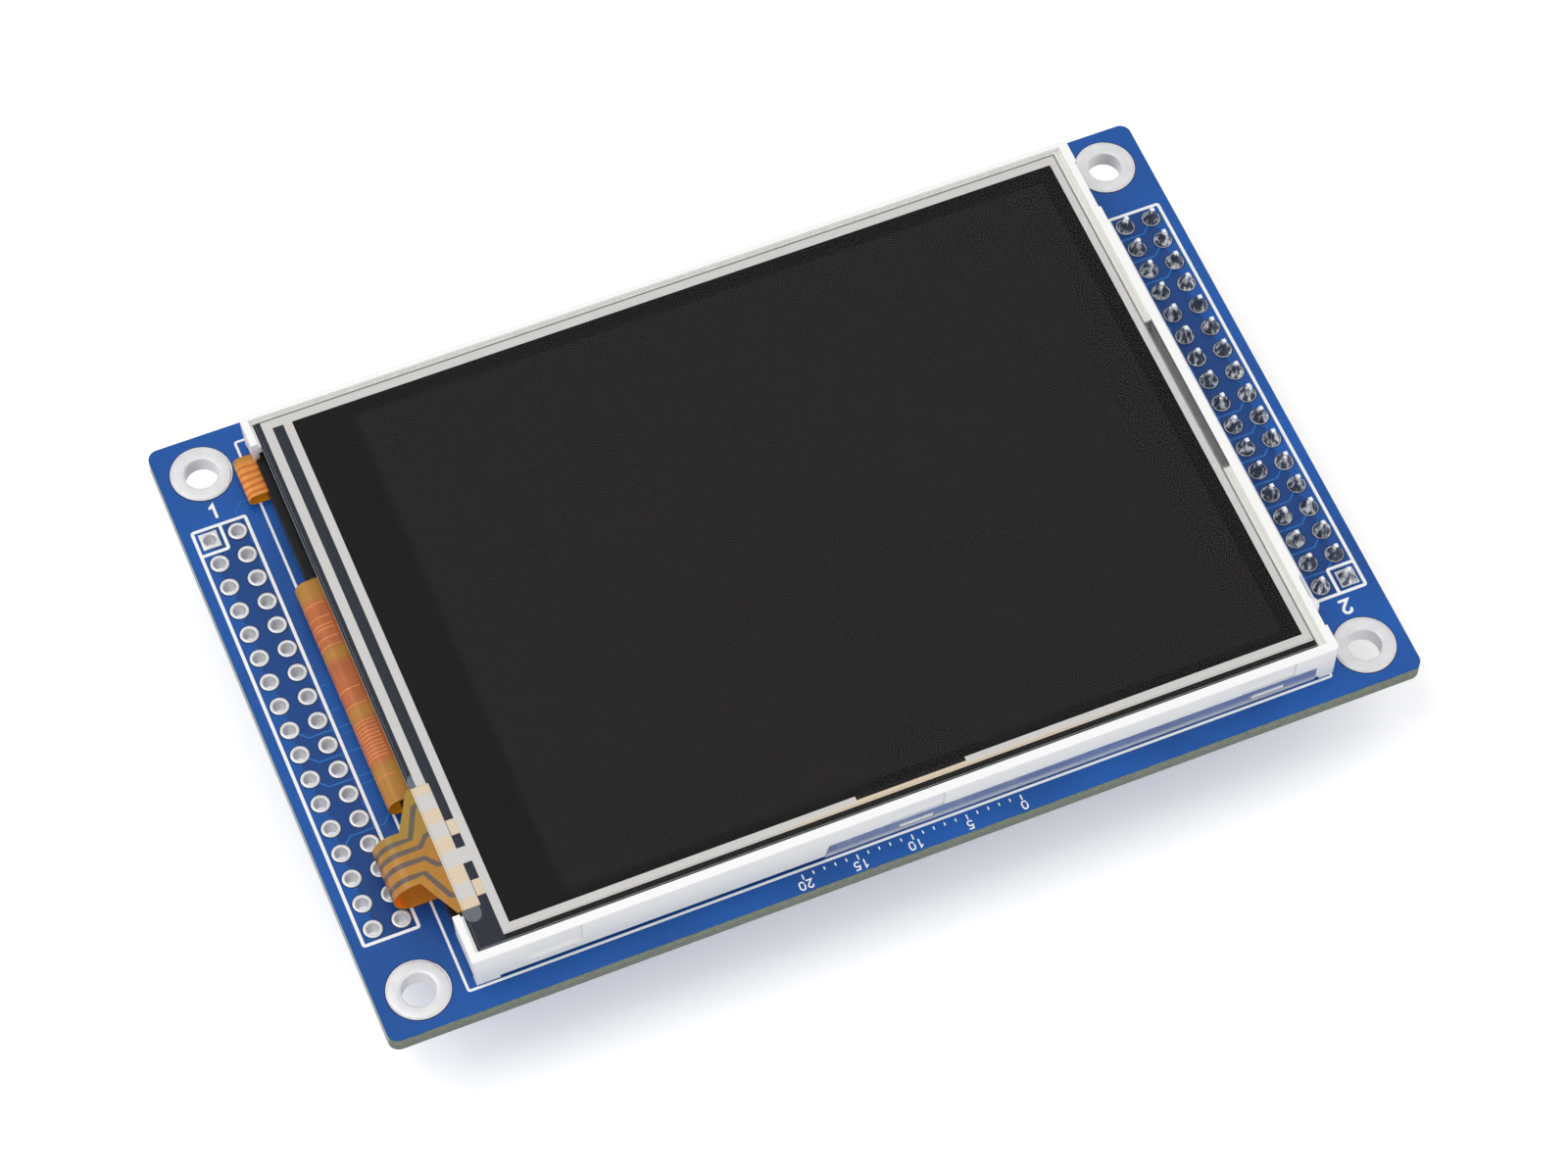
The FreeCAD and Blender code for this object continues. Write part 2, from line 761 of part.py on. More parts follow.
def glue_ends():
    """Two rounded ends of clear glue beside the tail's root."""
    ends = []
    for y, turn in ((root_back, 1), (root_front, -1)):
        radius = glue_width / 2
        straight = block(touch_left, touch_left + glue_width, min(y, y + turn * (glue_length - radius)),
                         max(y, y + turn * (glue_length - radius)), z_spacer, z_silver)
        tip = cylinder(touch_left + radius, y + turn * (glue_length - radius), radius, z_spacer, z_silver)
        beyond = block(touch_left, touch_left + glue_width, min(y, y - turn * radius),
                       max(y, y - turn * radius), z_spacer - cut_margin, z_silver + cut_margin)
        ends.append(straight.fuse(tip).cut(beyond).removeSplitter())
    return ends


def silver_outline():
    """Silver conductors: an outer loop on three sides, an inner strip, and their bridge."""
    strip_left = touch_left + strip_left_inset
    inner_left = view_left - strip_inner_width
    outer = block(strip_left, strip_left + strip_left_width, root_back, view_back + strip_back_width,
                  z_silver, z_film)
    rear = block(strip_left, view_right + strip_right_width, view_back, view_back + strip_back_width,
                 z_silver, z_film)
    side = block(view_right, view_right + strip_right_width, view_front - strip_front_width,
                 view_back + strip_back_width, z_silver, z_film)
    inner = block(inner_left, view_left, view_front - strip_front_width, view_back, z_silver, z_film)
    near = block(inner_left, view_right + strip_right_width, view_front - strip_front_width, view_front,
                 z_silver, z_film)
    narrow = block(touch_left + narrow_start, touch_left + narrow_start + narrow_length,
                   view_front - strip_front_width + strip_narrow, view_front + cut_margin,
                   z_silver - cut_margin, z_film + cut_margin)
    bridge = block(root_right, inner_left, root_back - bridge_offset - bridge_width,
                   root_back - bridge_offset, z_silver, z_film)
    return outer.fuse([rear, side, inner, near, bridge]).cut(narrow)


def make_touch_panel():
    """Pane, spacer ring, silver conductors and film."""
    save("touch_gasket", ring(filter_left + polariser_inset, glass_right - polariser_inset,
                              glass_front + polariser_inset, glass_back - polariser_inset, gasket_width,
                              gasket_width, gasket_width, gasket_width, z_gasket, z_touch), True)
    save("touch_glass", block(touch_left, touch_right, touch_front, touch_back, z_touch, z_spacer), True)
    spacer = ring(touch_left, touch_right, touch_front, touch_back, border_left, border_right,
                  border_front, border_back, z_spacer, z_silver)
    spacer = spacer.cut(tail_root()).cut(Part.makeCompound(glue_ends()))
    save("touch_spacer", spacer.removeSplitter(), True)
    save("silver_tracks", silver_outline().cut(tail_root()).removeSplitter(), True)
    save("touch_film", block(touch_left + film_step_left, touch_right, touch_front, touch_back,
                             z_film, z_film_top), True)
    save("tail_glue", glue_ends(), True)


def make_touch_flex():
    """Tail of the touch panel: broad root, narrow strip, loop down to the board."""
    thickness = z_film - z_spacer
    strip_back = root_back - tail_neck_offset
    strip_front = strip_back - tail_width
    bend = touch_left - tail_straight
    shoulder = touch_left - tail_root_step
    neck = shoulder - tail_taper_length
    root = plan_prism([(root_right, root_back), (shoulder, root_back), (neck, strip_back),
                       (bend, strip_back), (bend, strip_front), (neck, strip_front),
                       (shoulder, root_front), (root_right, root_front)], z_spacer, z_film)
    loop = bent_flex(bend + flex_lap, bend, bend + tail_tongue, z_film, thickness, strip_front, strip_back)
    save("touch_flex", root.fuse(loop).removeSplitter(), True)


def gull_leg(x, y, turn, width, reach, foot, height):
    """Leg that leaves a body sideways, drops and lies on the underside of the board."""
    middle = -height / 2
    knee = reach - foot
    t = leg_thickness
    points = [(0, middle + t / 2), (knee - t, middle + t / 2), (knee - t, 0), (reach, 0), (reach, -t),
              (knee, -t), (knee, middle - t / 2), (0, middle - t / 2)]
    corners = [FreeCAD.Vector(x - width / 2, y + turn * p, z) for p, z in points]
    wire = Part.makePolygon(corners + corners[:1])
    return Part.Face(wire).extrude(FreeCAD.Vector(width, 0, 0))


def chip_body(x, y, length, width, height):
    """Moulded chip body under the board, a little clear of it."""
    return block(x - length / 2, x + length / 2, y - width / 2, y + width / 2, -height, -stand_off)


def make_controller():
    """Touch controller with its two rows of legs."""
    half = controller_width / 2
    save("touch_controller", chip_body(controller_x, controller_y, controller_length, controller_width,
                                       controller_height))
    legs = []
    for i in range(controller_leg_pairs):
        x = controller_x + (i - (controller_leg_pairs - 1) / 2) * controller_leg_pitch
        for turn in (-1, 1):
            legs.append(gull_leg(x, controller_y + turn * half, turn, leg_width, leg_reach, leg_foot,
                                 controller_height))
    save("touch_controller_legs", legs)


def small_part(x, y, name, legs_name):
    """Three-legged moulded part."""
    half = regulator_width / 2
    save(name, chip_body(x, y, regulator_length, regulator_width, regulator_height))
    legs = [gull_leg(x - regulator_leg_pitch, y - half, -1, small_leg_width, small_leg_reach,
                     small_leg_foot, regulator_height),
            gull_leg(x + regulator_leg_pitch, y - half, -1, small_leg_width, small_leg_reach,
                     small_leg_foot, regulator_height),
            gull_leg(x, y + half, 1, small_leg_width, small_leg_reach, small_leg_foot,
                     regulator_height)]
    save(legs_name, legs)


def chip_parts(spots, height, name, ends_name):
    """Row of two-ended chip parts: ceramic bodies and metal ends."""
    bodies = []
    ends = []
    half = chip_part_length / 2
    for x, y in spots:
        bodies.append(block(x - half + chip_part_end, x + half - chip_part_end, y - chip_part_width / 2,
                            y + chip_part_width / 2, -height, 0))
        for x0 in (x - half, x + half - chip_part_end):
            ends.append(block(x0, x0 + chip_part_end, y - chip_part_width / 2, y + chip_part_width / 2,
                              -height, 0))
    save(name, bodies)
    save(ends_name, ends)


def main():
    os.makedirs("parts", exist_ok=True)
    make_board()
    make_plated_holes()
    make_right_header()
    make_mounting_tape()
    make_shell()
    make_frame()
    make_backlight()
    make_backlight_flex()
    make_glass()
    make_main_flex()
    make_side_tape()
    make_touch_panel()
    make_touch_flex()
    make_controller()
    small_part(regulator_x, regulator_y, "regulator", "regulator_legs")
    small_part(transistor_x, transistor_y, "backlight_transistor", "transistor_legs")
    chip_parts(capacitor_spots, capacitor_height, "capacitors", "capacitor_ends")
    chip_parts(resistor_spots, chip_part_height, "resistors", "resistor_ends")


main()
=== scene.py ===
import math
import random

import bmesh
import bpy
from bpy.props import FloatProperty, FloatVectorProperty, PointerProperty
from mathutils import Matrix, Vector


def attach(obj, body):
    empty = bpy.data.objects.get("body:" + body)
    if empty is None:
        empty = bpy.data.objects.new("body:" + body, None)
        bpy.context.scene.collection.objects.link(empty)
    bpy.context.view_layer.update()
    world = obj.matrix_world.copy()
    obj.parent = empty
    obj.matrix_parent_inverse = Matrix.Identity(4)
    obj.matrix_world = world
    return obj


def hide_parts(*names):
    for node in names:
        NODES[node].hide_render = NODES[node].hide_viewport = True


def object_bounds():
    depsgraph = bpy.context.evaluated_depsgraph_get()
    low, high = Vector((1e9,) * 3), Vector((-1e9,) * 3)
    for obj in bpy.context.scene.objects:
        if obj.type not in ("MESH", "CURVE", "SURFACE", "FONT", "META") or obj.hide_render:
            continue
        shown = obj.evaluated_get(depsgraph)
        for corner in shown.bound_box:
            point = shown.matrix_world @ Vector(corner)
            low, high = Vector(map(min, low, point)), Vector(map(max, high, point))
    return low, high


bl_info = {
    "name": "Colour display module",
    "version": (1, 0, 0),
    "blender": (4, 5, 0),
    "location": "View3D > Sidebar > Display module",
    "description": "Dresses the display module's solids with their finishes, printing and small detail",
    "category": "Object",
}

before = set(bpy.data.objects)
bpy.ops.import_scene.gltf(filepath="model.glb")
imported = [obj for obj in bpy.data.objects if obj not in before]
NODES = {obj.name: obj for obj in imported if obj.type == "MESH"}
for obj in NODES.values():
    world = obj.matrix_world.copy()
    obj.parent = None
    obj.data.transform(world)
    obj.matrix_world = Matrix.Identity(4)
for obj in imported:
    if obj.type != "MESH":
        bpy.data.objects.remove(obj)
CAD_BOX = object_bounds()

MM = 0.001
BODY = "root"
WHITE = (1.0, 1.0, 1.0)


# Colours as they look on the object, 0 to 255

def seen(red, green, blue):
    """Linear colour of a tone as it looks."""
    tone = []
    for value in (red, green, blue):
        share = value / 255.0
        tone.append(share / 12.92 if share <= 0.04045 else ((share + 0.055) / 1.055) ** 2.4)
    return tuple(tone)


def toned(colour, strength):
    """A colour made darker or lighter, at most white."""
    return tuple(min(1.0, part * strength) for part in colour)


def colour_prop(name, description, tone):
    return FloatVectorProperty(name=name, description=description, subtype="COLOR", size=3,
                               min=0.0, max=1.0, default=seen(*tone))


def length_prop(name, description, millimetres):
    return FloatProperty(name=name, description=description, unit="LENGTH", subtype="DISTANCE",
                         min=0.0, precision=5, default=millimetres * MM)


def share_prop(name, description, value):
    return FloatProperty(name=name, description=description, subtype="FACTOR", min=0.0, max=1.0,
                         default=value)


def power_prop(name, description, watts):
    return FloatProperty(name=name, description=description, unit="POWER", min=0.0, default=watts)


# Places on the module in millimetres, the board's underside at height 0

BOARD_TOP = 1.6
LEFT_EDGE = -47.2
PAD_TOP = 1.65
PIN_TOP = 3.15
PIN_BOTTOM = -8.64
PIN_PITCH = 2.54
ROWS = [(8 - i) * PIN_PITCH for i in range(17)]
OUTER_COLUMN = 44.95
INNER_COLUMN = 42.41
PINS = [(x, y) for x in (OUTER_COLUMN, INNER_COLUMN) for y in ROWS]
HOLE_X = 43.4
HOLE_Y = 27.0
UNDER_DISPLAY = 37.5

# Printed lines: round each header, round its first pad, round the display, and the scale
HEADER_INSIDE = 41.29
HEADER_OUTSIDE = 46.18
HEADER_END = 21.55
FIRST_PAD_INSIDE = 43.67
FIRST_PAD_END = 19.0
DISPLAY_LINE = (-39.6, 39.45, -28.68, 28.95)
SCALE_START = 10.0
SCALE_FRONT = -29.12
SCALE_FIGURES = -30.14

# The picture area, and the limits of the frame's pale ledges and of the gap between them
ACTIVE_AREA = (-29.55, 36.17, -24.85, 25.35)
RIGHT_LEDGE = (38.3, 38.99, -27.9, 28.2)
BACK_LEDGE = (-38.6, 39.3, 27.65, 28.04)
LEDGE_GAP = (38.0, 39.6, -8.2, 8.2)

# The bent films: the middle of each bend across and up, and the height of the upper face
TAIL_BEND = (-40.88, 3.49)
TAIL_TOP = 5.37
DISPLAY_BEND = (-38.9, 2.76)
DISPLAY_TOP = 3.92
LAMP_BEND = (-39.91, 2.29)
LAMP_TOP = 2.98
FILM_GLOW = 0.2

# The stage: the lamps in metres, the camera in millimetres
SOFT_LAMP = (-0.35, 0.12, 0.75)
FRONT_FILL = (0.3, -0.65, 0.3)
CAMERA_PLACE = (-91.54, -207.26, 382.61)
CAMERA_FORWARD = (0.2057, 0.4626, -0.8624)
CAMERA_UP = (0.3256, 0.7986, 0.5061)


# Wiring of the finishes

class Pattern:
    """A number or colour that varies over a surface. Numbers take ordinary sums."""

    def __init__(self, tree, socket):
        self.tree = tree
        self.socket = socket

    def worked(self, kind, *others):
        """The result of a sum with other numbers."""
        return add_node(self.tree, "ShaderNodeMath", dict(enumerate((self, *others))), operation=kind)

    def __add__(self, other):
        return self.worked("ADD", other)

    def __sub__(self, other):
        return self.worked("SUBTRACT", other)

    def __mul__(self, other):
        return self.worked("MULTIPLY", other)

    def __truediv__(self, other):
        return self.worked("DIVIDE", other)

    def __lt__(self, other):
        return self.worked("LESS_THAN", other)

    def __gt__(self, other):
        return self.worked("GREATER_THAN", other)

    def __or__(self, other):
        return self.worked("MAXIMUM", other)

    def __abs__(self):
        return self.worked("ABSOLUTE")

    def within(self, low, high):
        """1 where it lies between two limits."""
        return (self > low) * (self < high)

    def near(self, value, width):
        """1 where it is closer to a value than a width."""
        return abs(self - value) < width

    def eased(self, low, high, out_low=0.0, out_high=1.0):
        """Carried from one range to another, and held at both ends."""
        limits = {"Value": self, "From Min": low, "From Max": high, "To Min": out_low, "To Max": out_high}
        return add_node(self.tree, "ShaderNodeMapRange", limits, "Result")


def feed(tree, socket, value):
    """Set a socket, or join it to a pattern."""
    if isinstance(value, Pattern):
        tree.links.new(value.socket, socket)
    elif socket.type == "RGBA":
        socket.default_value = (*value, 1.0)
    else:
        socket.default_value = value


def add_node(tree, kind, inputs=None, output=0, **settings):
    """What a new node gives, with its settings made and its inputs fed."""
    node = tree.nodes.new(kind)
    for name, value in settings.items():
        setattr(node, name, value)
    for name, value in (inputs or {}).items():
        feed(tree, node.inputs[name], value)
    return Pattern(tree, node.outputs[output])


def distance(across, along):
    """Length of a step from its two parts."""
    return (across * across + along * along).worked("SQRT")


def seen_directly(tree):
    """1 for the rays that show a surface itself: to the camera, in gloss and through glass."""
    camera, glossy, through = (add_node(tree, "ShaderNodeLightPath", output="Is %s Ray" % kind)
                               for kind in ("Camera", "Glossy", "Transmission"))
    return camera | (glossy | through)


class Finish:
    """A node material whose patterns follow the module's millimetres."""

    def __init__(self, name, colour, roughness, metallic=0.0, gloss=0.5):
        self.material = bpy.data.materials.new(name)
        self.material.use_nodes = True
        self.tree = self.material.node_tree
        self.shader = self.tree.nodes["Principled BSDF"]
        self.paint(colour)
        self.set("Roughness", roughness)
        self.set("Metallic", metallic)
        self.set("Specular IOR Level", gloss)
        spot = self.node("ShaderNodeTexCoord", output="Object")
        self.where = self.node("ShaderNodeVectorMath", {0: spot, "Scale": 1.0 / MM}, operation="SCALE")
        self.x, self.y, self.z = self.parts(self.where)

    def node(self, kind, inputs=None, output=0, **settings):
        return add_node(self.tree, kind, inputs, output, **settings)

    def set(self, name, value):
        """Set one of the shader's own sockets, or join it to a pattern."""
        feed(self.tree, self.shader.inputs[name], value)

    def paint(self, colour):
        self.set("Base Color", colour)

    def parts(self, vector):
        return [self.node("ShaderNodeSeparateXYZ", {0: vector}, axis) for axis in "XYZ"]

    def facing(self):
        """The three parts of the direction that the surface faces."""
        return self.parts(self.node("ShaderNodeNewGeometry", output="Normal"))

    def on_edges(self):
        """1 on upright faces, 0 on flat ones."""
        return abs(self.facing()[2]) < 0.6

    def inside_bend(self, across, up):
        """1 on the broad faces of a bent film that look in at the middle of its bend."""
        face_x, face_y, face_z = self.facing()
        toward = (self.x - across) * face_x + (self.z - up) * face_z
        return (toward < -0.3) * (abs(face_y) < 0.3)

    def area(self, x0, x1, y0, y1):
        """1 over a rectangle of the module's plan."""
        return self.x.within(x0, x1) * self.y.within(y0, y1)

    def noise(self, per_mm, detail=3.0, roughness=0.5, stretch=None):
        where = self.where
        if stretch:
            where = self.node("ShaderNodeVectorMath", {0: where, 1: stretch}, operation="MULTIPLY")
        grain = {"Vector": where, "Scale": per_mm, "Detail": detail, "Roughness": roughness}
        return self.node("ShaderNodeTexNoise", grain, "Fac")

    def mix(self, share, first, second):
        return self.node("ShaderNodeMix", {"Factor": share, 6: first, 7: second}, 2, data_type="RGBA")

    def drift(self, share, colour, low, high=1.0):
        """A colour that varies between two strengths."""
        return self.mix(share, toned(colour, low), toned(colour, high))

    def roughen(self, grain, low, high):
        self.set("Roughness", grain.eased(0.3, 0.7, low, high))

    def bump(self, height, depth_mm):
        return self.node("ShaderNodeBump", {"Height": height, "Distance": depth_mm * MM})

    def relief(self, height, depth_mm):
        """Bump of a given depth from a height of 0 to 1."""
        self.set("Normal", self.bump(height, depth_mm))

    def glow_through(self, colour, inside):
        """Faint light that comes through thin film, on the faces inside its bend."""
        self.set("Emission Color", colour)
        self.set("Emission Strength", inside * FILM_GLOW)

    def own_shader(self):
        return Pattern(self.tree, self.shader.outputs[0])

    def blend(self, share, first, second):
        return self.node("ShaderNodeMixShader", {"Fac": share, 1: first, 2: second})

    def show(self, shader):
        feed(self.tree, self.tree.nodes["Material Output"].inputs["Surface"], shader)


def dress(material, *names):
    """Give solids of the frame their finish."""
    for name in names:
        if not NODES[name].material_slots:
            NODES[name].data.materials.append(material)
        for slot in NODES[name].material_slots:
            slot.material = material


# Making of meshes, in millimetres

FLANK = 0.5


def add_piece(name, bm, material, smooth=False):
    mesh = bpy.data.meshes.new(name)
    bmesh.ops.recalc_face_normals(bm, faces=bm.faces)
    bm.to_mesh(mesh)
    bm.free()
    mesh.transform(Matrix.Scale(MM, 4))
    mesh.materials.append(material)
    for face in mesh.polygons:
        face.use_smooth = smooth
    piece = bpy.data.objects.new(name, mesh)
    bpy.context.scene.collection.objects.link(piece)
    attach(piece, BODY)
    return piece


def join_rings(bm, rings, closed=False):
    """Faces from each ring of points to the next, with both ends of an open row filled."""
    pairs = list(zip(rings, rings[1:]))
    if closed:
        pairs.append((rings[-1], rings[0]))
    for low, high in pairs:
        for i in range(len(low)):
            j = (i + 1) % len(low)
            bm.faces.new((low[i], low[j], high[j], high[i]))
    if not closed:
        bm.faces.new(rings[0][::-1])
        bm.faces.new(rings[-1])


def box_ring(bm, x0, x1, y0, y1, z, inset=0.0):
    """The corners of a level rectangle."""
    corners = ((x0 + inset, y0 + inset, z), (x1 - inset, y0 + inset, z),
               (x1 - inset, y1 - inset, z), (x0 + inset, y1 - inset, z))
    return [bm.verts.new(corner) for corner in corners]


def side_step(points, index, closed):
    """Sideways direction at a point of a flat line, longer at its corners."""
    count = len(points)
    here = Vector(points[index])
    steps = []
    if closed or index > 0:
        steps.append((here - Vector(points[index - 1])).normalized())
    if closed or index < count - 1:
        steps.append((Vector(points[(index + 1) % count]) - here).normalized())
    sides = [Vector((-step.y, step.x)) for step in steps]
    middle = sum(sides, Vector((0, 0))).normalized()
    return middle / max(0.4, middle.dot(sides[0]))


def rounded_ends(points, width):
    """A line's points and width shares with half a round added at both ends."""
    places = [Vector(p) for p in points]
    start = (places[0] - places[1]).normalized() * (width / 2)
    end = (places[-1] - places[-2]).normalized() * (width / 2)
    caps = [(math.sin(a), math.cos(a)) for a in (1.35, 0.95, 0.5)]
    before = [(places[0] + start * out, share) for out, share in caps]
    after = [(places[-1] + end * out, share) for out, share in caps[::-1]]
    line = before + [(p, 1.0) for p in places] + after
    return [tuple(p) for p, share in line], [share for p, share in line]


def rounded_corner(points, closed=False):
    """A printed line with its corners cut into short curves."""
    radius = 0.2
    steps = 4
    places = [Vector(p) for p in points]
    count = len(places)
    line = []
    for i, here in enumerate(places):
        if not closed and i in (0, count - 1):
            line.append(tuple(here))
            continue
        before = places[i - 1] - here
        after = places[(i + 1) % count] - here
        reach = min(radius, before.length / 2.1, after.length / 2.1)
        a = here + before.normalized() * reach
        b = here + after.normalized() * reach
        for k in range(steps + 1):
            t = k / steps
            line.append(tuple(a * (1 - t) ** 2 + here * 2 * t * (1 - t) + b * t * t))
    return line


def add_strip(bm, points, width, base, height, closed=False, round_ends=False):
    """A low strip of print or copper along a flat line, with sloped flanks."""
    shares = [1.0] * len(points)
    if round_ends:
        points, shares = rounded_ends(points, width)
    top_share = max(0.3, 1.0 - 2.0 * FLANK * height / width)
    rings = []
    for i, (x, y) in enumerate(points):
        side = side_step(points, i, closed) * (width / 2) * shares[i]
        ring = []
        for share, z in ((1.0, base), (top_share, base + height), (-top_share, base + height), (-1.0, base)):
            ring.append(bm.verts.new((x + side.x * share, y + side.y * share, z)))
        rings.append(ring)
    join_rings(bm, rings, closed)


def add_patch(bm, x0, x1, y0, y1, base, height):
    """A low flat patch with sloped flanks."""
    join_rings(bm, [box_ring(bm, x0, x1, y0, y1, base),
                    box_ring(bm, x0, x1, y0, y1, base + height, FLANK * height)])


def add_wrap(bm, points, normals, width, height):
    """A thin strip laid on a bent film, from places and outward directions."""
    sink = 0.01
    rings = []
    for i, (spot, out) in enumerate(zip(points, normals)):
        here = Vector(spot)
        before = Vector(points[max(0, i - 1)])
        after = Vector(points[min(len(points) - 1, i + 1)])
        up = Vector(out).normalized()
        side = (after - before).normalized().cross(up).normalized() * (width / 2)
        rings.append([bm.verts.new(here + side * share + up * rise)
                      for share, rise in ((1.0, -sink), (0.8, height), (-0.8, height), (-1.0, -sink))])
    join_rings(bm, rings)


def loop_run(x_top, x_bend, top, y, steps=20):
    """Line over a flex film and round its bend down to the board, with outward directions."""
    radius = (top - BOARD_TOP) / 2
    middle = BOARD_TOP + radius
    points = [(x_top, y, top), (x_bend, y, top)]
    normals = [(0, 0, 1), (0, 0, 1)]
    for i in range(1, steps):
        angle = math.pi * i / steps
        points.append((x_bend - radius * math.sin(angle), y, middle + radius * math.cos(angle)))
        normals.append((-math.sin(angle), 0, math.cos(angle)))
    points.append((x_bend, y, BOARD_TOP))
    normals.append((0, 0, -1))
    return points, normals


# Finishes

def board_finish(look):
    """Blue solder mask over woven glass, with raw edges."""
    finish = Finish("blue_solder_mask", look.mask_colour, 0.3, gloss=0.3)
    x, y, z = finish.x, finish.y, finish.z
    cloud = finish.noise(0.07, 2.0).eased(0.35, 0.65)
    mask = finish.drift(cloud, look.mask_colour, 0.84, 1.14)
    # Bare laminate shows darker through the mask where no copper lies, between the pads
    row = y - (y / PIN_PITCH).worked("ROUND") * PIN_PITCH
    column = abs(abs(x) - OUTER_COLUMN).worked("MINIMUM", abs(abs(x) - INNER_COLUMN))
    pad = distance(column, row)
    in_rows = abs(y) < HEADER_END - 0.05
    ragged = (finish.noise(0.5, 1.0) - 0.5) * 1.4
    pour_edge = abs(x) + ragged + pad.eased(0.8, 1.5) * -0.55
    bare = pour_edge.within(41.1, 44.6) * in_rows
    mask = finish.mix(bare * 0.85, mask, look.bare_colour)
    # Gap between the mask and the tinned rings and pads, painted dark all round: painted shade where the mask
    # steps down to them
    ring = distance(abs(x) - HOLE_X, abs(y) - HOLE_Y)
    gap = ring.near(2.79, 0.055) | pad.near(0.875, 0.05) * in_rows
    mask = finish.mix(gap, mask, toned(look.mask_colour, 0.25))
    # Raw edge, with its glass layers and the mask's thin line above
    fibre = finish.noise(1.6, 4.0, 0.65, stretch=(1.2, 1.2, 9.0))
    raw = finish.drift(fibre.eased(0.35, 0.65), look.edge_colour, 0.72, 1.3)
    raw = finish.mix(z.eased(1.2, 1.45) * 0.6, raw, look.resin_colour)
    glint = z.near(1.02, 0.07) * fibre.eased(0.45, 0.55)
    raw = finish.mix(glint, raw, toned(look.edge_colour, 1.9))
    rim = (z > BOARD_TOP - 0.12) * finish.noise(3.0, 2.0).eased(0.45, 0.6)
    raw = finish.mix(rim, raw, look.rim_colour)
    # Painted light: the left raw edge is painted paler, as if lit from the left
    raw = finish.mix((x < LEFT_EDGE) * 0.45, raw, look.edge_left_lit_colour)
    edge = finish.on_edges()
    finish.paint(finish.mix(edge, mask, raw))
    finish.set("Roughness", edge.eased(0.0, 1.0, 0.3, 0.85))
    weave = (x * (6.28 / 0.55)).worked("SINE") * (y * (6.28 / 0.62)).worked("SINE")
    finish.relief(weave * 0.12 + finish.noise(2.2) * 0.6, 0.010)
    return finish.material


def copper_under_mask(look):
    """Tracks that lie under the mask, a little lighter than it."""
    finish = Finish("masked_copper", look.track_colour, 0.3, gloss=0.3)
    finish.paint(finish.drift(finish.noise(0.5, 2.0), look.track_colour, 0.88, 1.12))
    finish.relief(finish.noise(3.0, 2.0), 0.006)
    return finish.material


def print_finish(look):
    """White printing ink, slightly grainy."""
    finish = Finish("white_print", look.print_colour, 0.6)
    finish.paint(finish.drift(finish.noise(4.0), look.print_colour, 0.88))
    finish.relief(finish.noise(9.0, 2.0), 0.006)
    return finish.material


def tin_finish(name, colour, roughness, depth, metallic=0.9):
    """Tinned or plated metal, with the waves it sets in."""
    finish = Finish(name, colour, roughness, metallic)
    waves = finish.noise(0.9, 3.0, 0.55)
    fine = finish.noise(7.0, 3.0, 0.6)
    finish.paint(finish.drift(waves.eased(0.3, 0.7), colour, 0.88))
    finish.roughen(fine, roughness * 0.7, roughness * 1.3)
    finish.relief(waves + fine * 0.25, depth)
    return finish.material


def solder_finish(look):
    """Bright solder with painted reflections: dark and light runs down the flanks of its cones, and a patchy
    painted glint at their feet.
    """
    finish = Finish("solder", look.solder_colour, 0.38, 0.3)
    runs = finish.noise(1.0, 2.0, stretch=(2.3, 2.3, 0.6))
    patchy_glint = finish.noise(0.9, 1.0).eased(0.4, 0.6, 0.1, 0.75)
    foot = finish.z.within(BOARD_TOP, PAD_TOP + 0.06) * patchy_glint
    # Painted reflection and highlight: dark runs stand for the room's reflection, light runs and the foot for
    # glints
    lit = runs.eased(0.47, 0.66) | foot
    finish.paint(finish.mix(lit, look.solder_reflection_dark_colour, look.solder_colour))
    finish.relief(runs, 0.03)
    return finish.material


def pin_finish(look):
    """Gold-coloured pins, tinned where they stand in the solder."""
    finish = Finish("plated_pins", look.pin_colour, 0.2, 1.0)
    tinned = finish.z > 0.0
    marks = finish.noise(2.0, stretch=(4.0, 4.0, 0.6))
    gold = finish.drift(marks, look.pin_colour, 0.85)
    finish.paint(finish.mix(tinned, gold, look.solder_colour))
    finish.set("Metallic", tinned * -0.6 + 1.0)
    finish.roughen(marks, 0.16, 0.34)
    finish.relief(marks, 0.006)
    return finish.material


def plain_finish(name, colour, roughness, grain, depth=0.006, vary=0.1, gloss=0.5):
    """A moulded or printed surface with fine grain and a slight drift of tone."""
    finish = Finish(name, colour, roughness, gloss=gloss)
    finish.paint(finish.drift(finish.noise(0.35, 2.0), colour, 1.0 - vary, 1.0 + vary))
    fine = finish.noise(grain, 3.0, 0.6)
    finish.roughen(fine, roughness * 0.85, roughness * 1.15)
    finish.relief(fine, depth)
    return finish.material


def look_inside(colour):
    """The warmer and stronger tone of amber film lit through from its other side."""
    red, green, blue = colour
    return min(1.0, red * 1.25), min(1.0, green * 1.1), blue * 0.3


def amber_finish(name, colour, patch_colour, patches=(), bend=None):
    """Amber film with copper showing through it, browner or more golden over stretches of Y."""
    finish = Finish(name, colour, 0.25, gloss=0.35)
    shade = finish.drift(finish.noise(0.35, 2.0).eased(0.3, 0.7), colour, 0.88, 1.1)
    for low, high in patches:
        rise = finish.y.eased(low - 0.5, low + 0.5)
        fall = finish.y.eased(high - 0.5, high + 0.5, 1.0, 0.0)
        shade = finish.mix(rise * fall, shade, patch_colour)
    if bend:
        # Painted light: faces inside the bend are painted brighter and glow faintly, for light that comes
        # through the film
        inside = finish.inside_bend(*bend)
        shade = finish.mix(inside, shade, look_inside(patch_colour))
        finish.glow_through(shade, inside)
    finish.paint(shade)
    finish.relief(finish.noise(1.4, 2.0), 0.015)
    return finish.material


